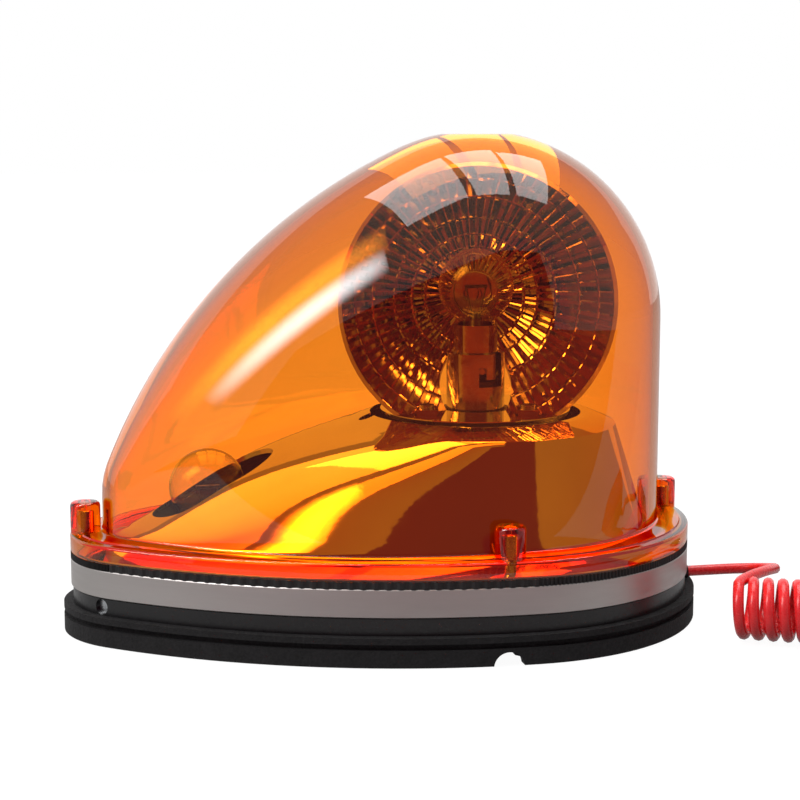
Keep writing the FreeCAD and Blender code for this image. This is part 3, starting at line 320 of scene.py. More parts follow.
NODE_FINISHES: Dict[Finish, Tuple[str, ...]] = {
    SPONGE: ("rubber_pad",),
    GASKET: ("lens_gasket", "cable_grommet"),
    ZINC: ("magnet_cup", "magnet_bolt", "magnet_washer", "lens_screws", "side_screws",
           "chassis_pillars", "chassis_plate", "chassis_screws", "bearing_sleeve",
           "socket_lock_ring", "motor_screws", "motor_shaft", "reflector_screws", "motor_can"),
    FERRITE: ("ring_magnet",),
    BLACK_ABS: ("base_tub",),
    BLACK_NYLON: ("motor_end_cap", "plug_relief", "plug_body", "plug_collar"),
    METALLISED: ("chrome_cover", "turntable"),
    MIRROR_FILM: ("reflector",),
    BRUSHED: ("trim_band",),
    ACETAL: ("thrust_washer", "rotor_hub", "drive_wheel"),
    NICKEL: ("socket_tube", "nose_socket_tube", "lamp_cap", "nose_lamp_cap",
             "plug_earth_springs", "plug_tip"),
    BRASS: ("socket_contact", "nose_socket_contact", "pinion"),
    PHENOLIC: ("socket_insulator", "nose_socket_insulator"),
    TUNGSTEN: ("lamp_filament", "nose_lamp_filament"),
    WINDING: ("motor_armature",),
    BLOWN_GLASS: ("lamp_glass", "nose_lamp_glass"),
    AMBER: ("lens_dome",),
    RED_PVC: ("cord_lead", "cord_coil", "cord_tail"),
}


# ------------------------------------------------------------------ mesh making
class Edges(Enum):
    """How a piece is shaded: the angle in degrees from which an edge shows as sharp."""

    SOFT = 38.0
    FACETED = 2.0


def new_piece(name: str, mesh: bpy.types.Mesh, finish: Finish, body: str,
              edges: Edges = Edges.SOFT) -> bpy.types.Object:
    """Put a mesh in the scene as a piece that rides on a body.

    Args:
        name: the piece's name.
        mesh: its mesh, in metres.
        finish: its material.
        body: body that it moves with.
        edges: how its edges are shaded.

    Returns:
        The new object.
    """
    piece = add_object(name, mesh)
    mesh.materials.clear()
    mesh.materials.append(finish.material())
    mesh.shade_smooth()
    mesh.set_sharp_from_angle(angle=math.radians(edges.value))
    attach(piece, body)
    LOG.info("%s: %d faces", name, len(mesh.polygons))
    return piece


def mesh_of(build: bmesh.types.BMesh, name: str) -> bpy.types.Mesh:
    """Turn a bmesh into a mesh with outward faces.

    Args:
        build: the bmesh, which is freed.
        name: name of the mesh.

    Returns:
        The mesh.
    """
    bmesh.ops.recalc_face_normals(build, faces=build.faces)
    mesh = bpy.data.meshes.new(name)
    build.to_mesh(mesh)
    build.free()
    return mesh


def skin(rows: Rows, poles: bool, build: Optional[bmesh.types.BMesh] = None
         ) -> bmesh.types.BMesh:
    """Join closed rows of points, in millimetres, into one closed surface.

    Args:
        rows: rows of as many points each, in order along the surface.
        poles: True closes the first and last rows with fans, False joins them to each other.
        build: bmesh to add to, or a new one.

    Returns:
        The bmesh with the surface added.
    """
    build = build or bmesh.new()
    loops = [[build.verts.new(Vector(point) * MM) for point in row] for row in rows]
    count = len(rows[0])
    pairs = list(zip(loops, loops[1:]))
    if not poles:
        pairs.append((loops[-1], loops[0]))
    for upper, lower in pairs:
        for index in range(count):
            after = (index + 1) % count
            build.faces.new((upper[index], upper[after], lower[after], lower[index]))
    if poles:
        for loop, row in ((loops[0], rows[0]), (loops[-1], rows[-1])):
            centre = build.verts.new(Vector(row.mean(axis=0)) * MM)
            for index in range(count):
                build.faces.new((centre, loop[index], loop[(index + 1) % count]))
    return build


def lathe(profile: Sequence[Tuple[float, float]], count: int, centre: Point,
          build: Optional[bmesh.types.BMesh] = None) -> bmesh.types.BMesh:
    """Turn a closed profile about a vertical axis.

    Args:
        profile: radius and height pairs in millimetres; the ends on the axis make poles.
        count: points round the axis.
        centre: where the axis stands, in millimetres.
        build: bmesh to add to, or a new one.

    Returns:
        The bmesh with the turned piece added.
    """
    turns = np.linspace(0, 2 * math.pi, count, endpoint=False)
    rows = [np.stack((centre[0] + radius * np.cos(turns), centre[1] + radius * np.sin(turns),
                      np.full(count, centre[2] + height)), axis=1)
            for radius, height in profile if radius > 0]
    return skin(rows, profile[0][0] == 0, build)


def cut(mesh: bpy.types.Mesh, cutters: Sequence[bpy.types.Mesh]) -> bpy.types.Mesh:
    """Cut closed meshes out of another with exact booleans.

    Args:
        mesh: the mesh to cut.
        cutters: meshes to take away.

    Returns:
        The cut mesh.
    """
    target = add_object("cutting", mesh)
    tools = [add_object("cutter", cutter) for cutter in cutters]
    for tool in tools:
        boolean = target.modifiers.new("cut", "BOOLEAN")
        boolean.operation = "DIFFERENCE"
        boolean.solver = "EXACT"
        boolean.object = tool
    bpy.context.view_layer.update()
    depsgraph = bpy.context.evaluated_depsgraph_get()
    result = bpy.data.meshes.new_from_object(target.evaluated_get(depsgraph))
    for leftover in (target, *tools):
        bpy.data.objects.remove(leftover)
    return result


def rod(radius: float, low: float, high: float, count: int, x: float = 0.0
        ) -> bmesh.types.BMesh:
    """Make an upright rod that cuts a round hole.

    Args:
        radius: its radius in millimetres.
        low: height of its foot.
        high: height of its top.
        count: points round it.
        x: where it stands along X.

    Returns:
        The rod's bmesh.
    """
    return lathe(((0, low), (radius, low), (radius, high), (0, high)), count, (x, 0, 0))


@dataclass(frozen=True)
class Teardrop:
    """Plan of tail arc, nose arc and two side arcs, all tangent, in millimetres."""

    tail_x: float
    tail_radius: float
    nose_x: float
    nose_radius: float
    side_radius: float

    def side_centre(self) -> Tuple[float, float]:
        """Find the centre of the side arc that bulges towards +Y.

        Returns:
            Its X and Y in millimetres.
        """
        reach = self.tail_x - self.nose_x
        to_tail = self.side_radius - self.tail_radius
        to_nose = self.side_radius - self.nose_radius
        along = (to_nose ** 2 - to_tail ** 2 - reach ** 2) / (2 * reach)
        return self.tail_x + along, -math.sqrt(to_tail ** 2 - along ** 2)

    def ring(self, angles: np.ndarray, inset: Measure, height: Measure) -> np.ndarray:
        """Give the outline's points by the directions that they face.

        Args:
            angles: directions in radians, from -pi to pi.
            inset: distance inside the outline, one value or one for each angle.
            height: height of the points, one value or one for each angle.

        Returns:
            Points in millimetres.
        """
        side_x, side_y = self.side_centre()
        tail_turn = math.atan2(-side_y, self.tail_x - side_x)
        nose_turn = math.atan2(-side_y, self.nose_x - side_x)
        size = np.abs(angles)
        tail, nose = size <= tail_turn, size >= nose_turn
        x = np.where(tail, self.tail_x, np.where(nose, self.nose_x, side_x))
        y = np.where(tail | nose, 0.0, side_y * np.sign(angles))
        radius = np.where(tail, self.tail_radius,
                          np.where(nose, self.nose_radius, self.side_radius)) - inset
        return np.stack((x + radius * np.cos(angles), y + radius * np.sin(angles),
                         np.broadcast_to(height, angles.shape)), axis=1)


def directions(count: int) -> np.ndarray:
    """Give evenly spread directions from -pi to pi."""
    return np.linspace(-math.pi, math.pi, count, endpoint=False)


# ------------------------------------------------------------------ sub-assemblies
# Their sizes are in millimetres, degrees and counts, and heights are above the floor.
# The base plan carries the band, the gasket and the flange, and the lens plan rises from that.
BASE_PLAN = Teardrop(tail_x=2.0, tail_radius=72.3, nose_x=-108.0, nose_radius=32.0,
                     side_radius=200.0)
LENS_PLAN = Teardrop(tail_x=0.0, tail_radius=63.4, nose_x=-102.0, nose_radius=27.1,
                     side_radius=150.7)


@dataclass
class Lens:
    """Amber lens: a ball rolled from the tail to the nose, over a stepped flange with bosses."""

    centre_height: float = 103.0
    ridge_radius: float = 198.5
    ridge_tilt: float = 24.7
    wall: float = 2.5
    gate_radius: float = 12.5
    flange_foot: float = 26.8
    flange_top: float = 33.5
    ledge: float = 2.5  # depth of the step inside the flange
    boss_radius: float = 5.0
    boss_rise: float = 10.7
    bosses: Tuple[Tuple[float, float], ...] = ((-134.8, 0.0), (69.1, 0.0), (-5.9, 67.1),
                                               (-5.9, -67.1))
    boss_sink: float = 0.72
    bore: float = 0.3
    screw_bore: float = 1.8
    around: int = 224
    boss_around: int = 40
    stations: int = 1500  # places of the rolled ball
    waist: float = 62.0  # rows stand closer above this height
    rows: Tuple[int, int, int] = (9, 20, 34)  # to the waist, to the ball's centre, over the top

    def section(self, angles: np.ndarray, height: float, inset: float) -> np.ndarray:
        """Outline the rolled ball and the walls below it at one height.

        Args:
            angles: directions that the points face.
            height: the section's height.
            inset: distance inside the outer skin.

        Returns:
            Points in millimetres.
        """
        side_x, side_y = LENS_PLAN.side_centre()
        stations = np.linspace(LENS_PLAN.nose_x, LENS_PLAN.tail_x, self.stations)
        radius = LENS_PLAN.side_radius - np.hypot(stations - side_x, side_y)
        tilt = math.radians(self.ridge_tilt)
        arm = self.ridge_radius - LENS_PLAN.tail_radius
        ridge_x, ridge_z = arm * math.sin(tilt), self.centre_height - arm * math.cos(tilt)
        centres = ridge_z + np.sqrt((self.ridge_radius - radius) ** 2 - (stations - ridge_x) ** 2)
        rise = np.maximum(height - centres, 0)
        # only the balls that are cut at this height, and none just touched at its top
        there = rise < radius - inset - 1e-6
        stations, radius, rise = stations[there], radius[there], rise[there]
        radius = np.sqrt((radius - inset) ** 2 - rise ** 2)
        reach = stations[:, None] * np.cos(angles)[None, :] + radius[:, None]
        best = reach.argmax(axis=0)
        return np.stack((stations[best] + radius[best] * np.cos(angles),
                         radius[best] * np.sin(angles), np.full(len(angles), height)), axis=1)

    def skin_heights(self, foot: float, inset: float) -> List[float]:
        """List the heights of a skin's rows, closer where it curves over.

        Args:
            foot: lowest height.
            inset: distance inside the outer skin.

        Returns:
            Heights from the foot to the flat top.
        """
        sparse, middling, dense = self.rows
        low = np.linspace(foot, self.waist, sparse)
        middle = np.linspace(self.waist, self.centre_height, middling)[1:]
        radius = LENS_PLAN.tail_radius - inset
        flat = self.gate_radius - inset
        turns = np.linspace(0, math.acos(flat / radius), dense)[1:]
        top = self.centre_height + radius * np.sin(turns)
        return [*low, *middle, *top]

    def shell_mesh(self) -> bpy.types.Mesh:
        """Build the closed shell, from the top's outside round the flange to its inside.

        Returns:
            The shell's mesh.
        """
        angles = directions(self.around)
        outer = [self.section(angles, height, 0.0)
                 for height in reversed(self.skin_heights(self.flange_top + 1.2, 0.0))]
        # each pair is an inset and a height: the fillet at the wall's foot, then the flange's
        # steps and rounded edges
        fillet = [LENS_PLAN.ring(angles, inset, self.flange_top + height)
                  for inset, height in ((-0.12, 0.62), (-0.45, 0.2), (-1.0, 0.0))]
        foot, top = self.flange_foot, self.flange_top
        flange = [BASE_PLAN.ring(angles, inset, height) for inset, height in (
            (3.4, top), (3.1, top), (2.9, top - 0.55), (2.6, top - 0.7), (0.9, top - 0.75),
            (0.35, top - 0.95), (0.0, top - 1.5), (0.0, foot + 0.5), (0.15, foot + 0.1),
            (0.5, foot), (self.wall, foot), (self.wall, top - self.ledge))]
        inner = [self.section(angles, height, self.wall)
                 for height in self.skin_heights(top - self.ledge, self.wall)]
        return mesh_of(skin([*outer, *fillet, *flange, *inner], poles=True), "lens_shell")

    def boss_mesh(self) -> bpy.types.Mesh:
        """Build the round-topped screw bosses, each with a pinhole above its screw bore.

        Returns:
            The bosses' mesh.
        """
        build = bmesh.new()
        radius, rise, bore, wide = self.boss_radius, self.boss_rise, self.bore, self.screw_bore
        profile = [(wide, 0.0), (radius, 0.0), (radius, rise - 1.4), (radius - 0.25, rise - 0.6),
                   (radius - 0.8, rise - 0.15), (radius - 1.4, rise), (2 * bore, rise),
                   (bore, rise - 0.05), (bore, rise - 2.9), (wide - 0.3, rise - 3.0),
                   (wide, rise - 3.3)]
        for x, y in self.bosses:
            lathe(profile, self.boss_around, (x, y, self.flange_top - self.boss_sink), build)
        return mesh_of(build, "lens_bosses")

    def build(self) -> None:
        """Build and dress the lens."""
        for piece in (new_piece("lens_shell", self.shell_mesh(), AMBER, "base"),
                      new_piece("lens_bosses", self.boss_mesh(), AMBER, "base")):
            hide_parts("lens_dome")


@dataclass
class Cover:
    """Metallised cover: a tower under the rotor and a ramp to the nose, in one skin."""

    foot: float = 31.0
    top: float = 66.5
    rim: float = 70.0
    top_radius: float = 46.7
    rim_radius: float = 38.0
    opening: float = 36.6
    bulge: float = 9.8
    inset: float = 3.5
    wall: float = 1.4
    around: int = 240
    rows: int = 25
    cut_heights: Tuple[float, float] = (60.0, 75.0)
    lobe_x: float = -38.0
    lobe_radius: float = 3.2
    slot_x: float = -91.5
    slot_half_width: float = 14.0
    slot_half_length: float = 20.4
    slot_heights: Tuple[float, float] = (24.0, 66.0)
    slot_around: int = 72
    brim_inset: float = 4.0
    brim_lap: float = 0.3
    brim_height: float = 27.1
    brim_wall: float = 0.5
    brim_gap: float = 2.9

    def ring(self, angles: np.ndarray, share: float, inset: float, height: float) -> np.ndarray:
        """Outline the skin at a share of its height.

        Args:
            angles: directions that the points face.
            share: 0 at the foot, 1 at the top.
            inset: distance inside the outer skin.
            height: height of the points.

        Returns:
            Points in millimetres.
        """
        low = LENS_PLAN.ring(angles, self.inset, 0.0)
        out = np.stack((np.cos(angles), np.sin(angles), np.zeros_like(angles)), axis=1)
        high = out * self.top_radius + np.array((BASE_PLAN.tail_x, 0.0, 0.0))
        # 27 / 4 makes the swell just the bulge at its fullest, two thirds of the way up
        swell = self.bulge * 27 / 4 * share ** 2 * (1 - share)
        swell = swell * np.maximum(-np.cos(angles), 0) ** 2
        points = low * (1 - share) + high * share + out * (swell - inset)[:, None]
        points[:, 2] = height
        return points

    def mesh(self) -> bpy.types.Mesh:
        """Build the cover, cut by its round opening, its lobe and the long slot at the nose.

        Returns:
            The cover's mesh.
        """
        angles = directions(self.around)
        shares = np.linspace(0, 1, self.rows)
        rise = self.top - self.foot
        outer = [self.ring(angles, share, 0.0, self.foot + rise * share)
                 for share in shares[::-1]]
        inner = [self.ring(angles, share, self.wall, self.foot + (rise - self.wall) * share)
                 for share in shares]
        out = np.stack((np.cos(angles), np.sin(angles)), axis=1)

        def circle(radius: float, height: float) -> np.ndarray:
            """Give a level circle of points of this radius about the tail arc's centre."""
            return np.column_stack((out * radius + np.array((BASE_PLAN.tail_x, 0.0)),
                                    np.full(len(angles), height)))

        # the crown is closed here, and the opening is cut through it below
        crown = [circle(1.0, self.rim), circle(self.rim_radius, self.rim),
                 circle(self.rim_radius + 0.6, self.rim - 0.15),
                 circle(self.top_radius - 0.5, self.top + 0.25)]
        under = [circle(self.rim_radius - 0.4, self.rim - self.wall),
                 circle(1.0, self.rim - self.wall)]
        body = mesh_of(skin([*crown, *outer, *inner, *under], poles=True), "cover")
        opening = mesh_of(rod(self.opening, *self.cut_heights, count=120), "opening")
        lobe = mesh_of(rod(self.lobe_radius, *self.cut_heights, count=40, x=self.lobe_x), "lobe")
        half = self.slot_half_width
        turns = np.linspace(0, 2 * math.pi, self.slot_around, endpoint=False)
        straight = self.slot_half_length - half
        ends = np.where(np.cos(turns) > 0, straight, -straight)
        rows = [np.stack((self.slot_x + ends + half * np.cos(turns), half * np.sin(turns),
                          np.full(self.slot_around, height)), axis=1)
                for height in self.slot_heights]
        slot = mesh_of(skin(rows, poles=True), "slot")
        return cut(body, (slot, opening, lobe))

    def brim_mesh(self) -> bpy.types.Mesh:
        """Build the thin sloping brim from the cover's foot out to the lens flange.

        Returns:
            The brim's mesh.
        """
        angles = directions(self.around)
        low, high, wall = self.brim_height, self.foot + self.brim_lap, self.brim_wall
        rows = [BASE_PLAN.ring(angles, self.brim_gap, low),
                BASE_PLAN.ring(angles, self.brim_gap, low + wall),
                LENS_PLAN.ring(angles, self.brim_inset, high),
                LENS_PLAN.ring(angles, self.brim_inset, high - wall)]
        return mesh_of(skin(rows, poles=False), "brim")

    def build(self) -> None:
        """Build and dress the cover."""
        for piece in (new_piece("bright_cover", self.mesh(), METALLISED, "base"),
                      new_piece("bright_brim", self.brim_mesh(), METALLISED, "base")):
            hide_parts("chrome_cover")


@dataclass
class Reflector:
    """Bowl of faceted rings that faces the front at rest, on two feet on the turntable."""

    height: float = 108.5
    focus: float = 16.0
    radii: Tuple[float, ...] = (2.0, 9.0, 17.5, 22.0, 28.0, 35.5, 41.4, 45.8)
    thickness: float = 1.2
    lip: float = 1.1
    facets: int = 72
    joint: float = 0.16  # share of a facet's width that goes to the joint beside it
    groove: float = 0.22
    tilt: float = 0.11  # the most that a facet's side leans
    ring_step: float = 0.45
    lean_step: float = 2.4  # radians, near the golden angle, so that the leans never line up
    plain_radius: float = 9.0
    rim_drop: float = 0.6
    back_drop: float = 0.5
    back_radii: Tuple[float, ...] = (38.0, 30.0, 20.0, 10.0, 2.0)
    floor: float = 71.0
    block: float = 160.0  # side of the cube that cuts the bowl off level
    stem: float = 12.4
    stem_foot: float = 20.0
    turn: float = -12.4
    foot_x: float = 17.1
    foot_y: float = -12.0
    foot_size: Point = (8.0, 12.0, 1.6)
    foot_round: float = 0.5

    def row(self, radius: float, lift: float, groove: float, ring: int) -> np.ndarray:
        """Give one row of the bowl's surface.

        Args:
            radius: distance from the bowl's own axis.
            lift: distance behind the paraboloid.
            groove: depth of the grooves between the flat facets.
            ring: number of the ring, from the middle outwards.

        Returns:
            Points in millimetres, in the bowl's own frame.
        """
        corners = np.array((-self.joint / 2, self.joint / 2, 0.5))
        turns = (np.arange(self.facets)[:, None] + corners[None, :]) * 2 * math.pi / self.facets
        turns = turns.ravel()
        # the middle of a facet lies on the chord between its two sides
        flat = math.cos(math.pi / self.facets * (1 - self.joint))
        shrink = np.tile((1.0, 1.0, flat), self.facets)
        # each grooved facet leans a little its own way, so neighbours catch different light
        leans = np.sin(np.arange(self.facets) * self.lean_step + ring)
        lean = self.tilt * leans * (groove > 0)
        # the side before a joint sinks by the groove and the side after it by the lean alone
        sink = np.stack((groove - np.roll(lean, 1), lean, 0 * lean), axis=1).ravel()
        depth = self.focus - radius ** 2 / (4 * self.focus) + lift + sink
        return np.stack((radius * shrink * np.cos(turns), depth,
                         self.height + radius * shrink * np.sin(turns)), axis=1)

    def mesh(self) -> bpy.types.Mesh:
        """Build the bowl with its faceted rings, cut off at the turntable and round the stem.

        Returns:
            The reflector's mesh.
        """
        rows = []
        for index, (near, far) in enumerate(zip(self.radii, self.radii[1:])):
            groove = 0.0 if far <= self.plain_radius else self.groove
            step = self.ring_step if index % 2 else 0.0
            for share, depth in ((0.02, 0.0), (0.08, groove), (0.92, groove), (0.98, 0.0)):
                rows.append(self.row(near + (far - near) * share, step, depth, index))
        lip = self.radii[-1] + self.lip
        rows += [self.row(lip, self.rim_drop, 0.0, 0),
                 self.row(lip, self.rim_drop + self.thickness, 0.0, 0)]
        rows += [self.row(radius, self.thickness + self.back_drop, 0.0, 0)
                 for radius in (self.radii[-1], *self.back_radii)]
        bowl = mesh_of(skin(rows, poles=True), "bowl")
        block = bmesh.new()
        bmesh.ops.create_cube(block, size=self.block * MM, matrix=Matrix.Translation(
            (0, 0, (self.floor - self.block / 2) * MM)))
        stem = rod(self.stem, self.stem_foot, self.height, count=64)
        return cut(bowl, (mesh_of(block, "below"), mesh_of(stem, "stem")))

    def foot_mesh(self) -> bpy.types.Mesh:
        """Build the two screwed feet.

        Returns:
            The feet's mesh.
        """
        build = bmesh.new()
        for side in (-1, 1):
            centre = Vector((side * self.foot_x, self.foot_y, self.floor + self.foot_size[2] / 2))
            made = bmesh.ops.create_cube(build, size=MM, matrix=Matrix.Translation(centre * MM)
                                         @ Matrix.Diagonal((*self.foot_size, 1)))
            edges = list({edge for vert in made["verts"] for edge in vert.link_edges})
            bmesh.ops.bevel(build, geom=edges, offset=self.foot_round * MM, segments=2,
                            affect="EDGES")
        return mesh_of(build, "feet")

    def build(self) -> None:
        """Build and dress the reflector."""
        turn = Matrix.Rotation(math.radians(self.turn), 4, "Z")
        bowl, feet = self.mesh(), self.foot_mesh()
        for mesh in (bowl, feet):
            mesh.transform(turn)
        pieces = [new_piece("fluted_reflector", bowl, MIRROR_FILM, "rotor", Edges.FACETED),
                  new_piece("reflector_feet", feet, MIRROR_FILM, "rotor")]
        for piece in pieces:
            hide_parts("reflector")


@dataclass
class Lamp:
    """Bayonet lamp's blown globe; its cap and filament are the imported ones."""

    name: str
    x: float
    height: float
    globe: float = 13.0
    neck: float = 6.9
    wall: float = 0.6
    foot_drop: float = 2.6
    rows: int = 28
    around: int = 64

    def build(self) -> None:
        """Build the globe as one thin closed shell and dress it."""
        start = -math.acos(self.neck / self.globe)
        turns = np.linspace(start, math.pi / 2 - 0.05, self.rows)
        outer, inner = ([(radius * math.cos(turn), radius * math.sin(turn)) for turn in turns]
                        for radius in (self.globe, self.globe - self.wall))
        foot = -self.globe - self.foot_drop
        profile = [(0, 0), *reversed(outer), (self.neck, foot), (self.neck - self.wall, foot),
                   *inner, (0, 0)]
        shell = lathe(profile, self.around, (self.x, 0.0, self.height))
        piece = new_piece(self.name + "_globe", mesh_of(shell, self.name), BLOWN_GLASS, "base")
        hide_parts(self.name)


@dataclass
class BaseTrim:
    """What shows between the lens and the tub: brushed band and toothed gasket."""

    band_foot: float = 15.3
    band_top: float = 24.5
    band_wall: float = 0.95
    gasket_top: float = 26.8
    gasket_width: float = 2.4
    round_depth: float = 0.25
    round_height: float = 0.3
    around: int = 360
    teeth: int = 320
    tooth_depth: float = 0.5

    def band_mesh(self) -> bpy.types.Mesh:
        """Build the band with its rolled edges.

        Returns:
            The band's mesh.
        """
        angles = directions(self.around)
        low, high, wall = self.band_foot, self.band_top, self.band_wall
        depth, rise = self.round_depth, self.round_height
        profile = ((depth, low), (0.0, low + rise), (0.0, high - rise), (depth, high),
                   (wall, high), (wall, low))
        rows = [BASE_PLAN.ring(angles, inset, height) for inset, height in profile]
        return mesh_of(skin(rows, poles=False), "band")

    def gasket_mesh(self) -> bpy.types.Mesh:
        """Build the gasket with its row of outer teeth.

        Returns:
            The gasket's mesh.
        """
        # four points to a tooth: two on its tip and two in the gap beside it
        angles = directions(self.teeth * 4)
        tooth = np.where(np.arange(len(angles)) % 4 < 2, 0.0, self.tooth_depth)
        low, high = self.band_top, self.gasket_top
        rows = [BASE_PLAN.ring(angles, tooth, low), BASE_PLAN.ring(angles, tooth, high),
                BASE_PLAN.ring(angles, self.gasket_width, high),
                BASE_PLAN.ring(angles, self.gasket_width, low)]
        return mesh_of(skin(rows, poles=False), "gasket")

    def build(self) -> None:
        """Build and dress the band and the gasket."""
        band = new_piece("brushed_band", self.band_mesh(), BRUSHED, "base")
        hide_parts("trim_band")
        gasket = new_piece("toothed_gasket", self.gasket_mesh(), GASKET, "base", Edges.FACETED)
        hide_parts("lens_gasket")


@dataclass
class CurlyLead:
    """Red lead: out of the grommet, coiled beside the tail, and back along the floor to the plug.

    The lead, coil and tail are control points; the coil's are those of the axis of its turns.
    """

    radius: float = 1.85
    coil_radius: float = 8.65
    turns: float = 35.5
    steps: int = 14
    end_gap: float = 3.0
    length: float = 2.15
    exit_m: Point = (0.0715, -0.0155, 0.01225)
    plug: Tuple[str, ...] = ("plug_relief", "plug_body", "plug_collar", "plug_earth_springs",
                             "plug_tip")
    lead: Tuple[Point, ...] = (
        (70.0, -15.6, 12.25), (82.0, -15.3, 12.2), (92.5, -16.2, 12.4), (99.6, -21.8, 13.4),
        (100.6, -30.8, 15.4), (95.4, -40.4, 17.8), (86.6, -49.8, 19.4))
    coil: Tuple[Point, ...] = (
        (71.5, -59.5, 10.75), (105.0, -79.0, 10.75), (153.0, -87.0, 10.75),
        (200.0, -81.0, 10.75), (237.0, -60.0, 10.75))
    tail: Tuple[Point, ...] = (
        (229.8, -55.5, 2.0), (232.6, -50.2, 2.0), (240.0, -47.4, 2.0), (250.0, -44.0, 2.0),
        (259.0, -33.5, 2.0), (261.0, -18.5, 2.0), (257.4, -4.0, 2.2), (248.5, 6.5, 4.2),
        (236.5, 11.4, 9.4), (229.0, 12.1, 10.75), (221.5, 12.3, 10.75))

    @staticmethod
    def spline(name: str, points: Sequence[Point]) -> bpy.types.Curve:
        """Make an open NURBS curve through a route's control points.

        Args:
            name: the curve's name.
            points: control points in millimetres.

        Returns:
            The curve.
        """
        curve = bpy.data.curves.new(name, "CURVE")
        curve.dimensions = "3D"
        spline = curve.splines.new("NURBS")
        spline.points.add(len(points) - 1)
        for control, point in zip(spline.points, points):
            control.co = (point[0] * MM, point[1] * MM, point[2] * MM, 1)
        # set only now, because the points have to be there first
        spline.order_u = 3
        spline.use_endpoint_u = True
        spline.resolution_u = 12
        return curve

    def axis_points(self) -> np.ndarray:
        """Read the coil's axis from its own spline, evenly spaced along its length.

        Returns:
            Points in millimetres.
        """
        holder = bpy.data.objects.new("coil_axis", self.spline("coil_axis", self.coil))
        mesh = bpy.data.meshes.new_from_object(holder)
        points = np.array([vertex.co[:] for vertex in mesh.vertices]) / MM
        bpy.data.objects.remove(holder)
        gaps = np.linalg.norm(np.diff(points, axis=0), axis=1)
        along = np.concatenate(([0], np.cumsum(gaps)))
        wanted = np.linspace(self.end_gap, along[-1] - self.end_gap,
                             int(self.turns * self.steps) + 1)
        return np.stack([np.interp(wanted, along, points[:, i]) for i in range(3)], axis=1)

    def helix(self) -> List[Point]:
        """Wind the turns round the coil's axis.

        Returns:
            Control points in millimetres.
        """
        axis = self.axis_points()
        heading = np.gradient(axis, axis=0)
        heading /= np.linalg.norm(heading, axis=1)[:, None]
        up = np.array((0.0, 0.0, 1.0))
        side = np.cross(heading, up)
        # the spline runs inside its control points, so they stand a little further out
        reach = self.coil_radius / math.cos(math.pi / self.steps)
        # the first turn starts at its top, where the lead comes over, and winds down from there
        turns = math.pi / 2 - 2 * math.pi * np.arange(len(axis)) / self.steps
        return [tuple(centre + reach * (math.cos(turn) * across + math.sin(turn) * up))
                for centre, across, turn in zip(axis, side, turns)]

    def build(self) -> None:
        """Build the lead and dress it."""
        curve = self.spline("curly_lead", [*self.lead, *self.helix(), *self.tail])
        curve.bevel_depth = self.radius * MM
        curve.bevel_resolution = 3
        curve.splines[0].resolution_u = 3
        curve.use_fill_caps = True
        piece = add_object("curly_lead", curve)
        curve.materials.append(RED_PVC.material())
        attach(piece, "base")
        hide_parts("cord_lead", "cord_coil", "cord_tail")
        LOG.info("curly_lead: %d control points", len(curve.splines[0].points))


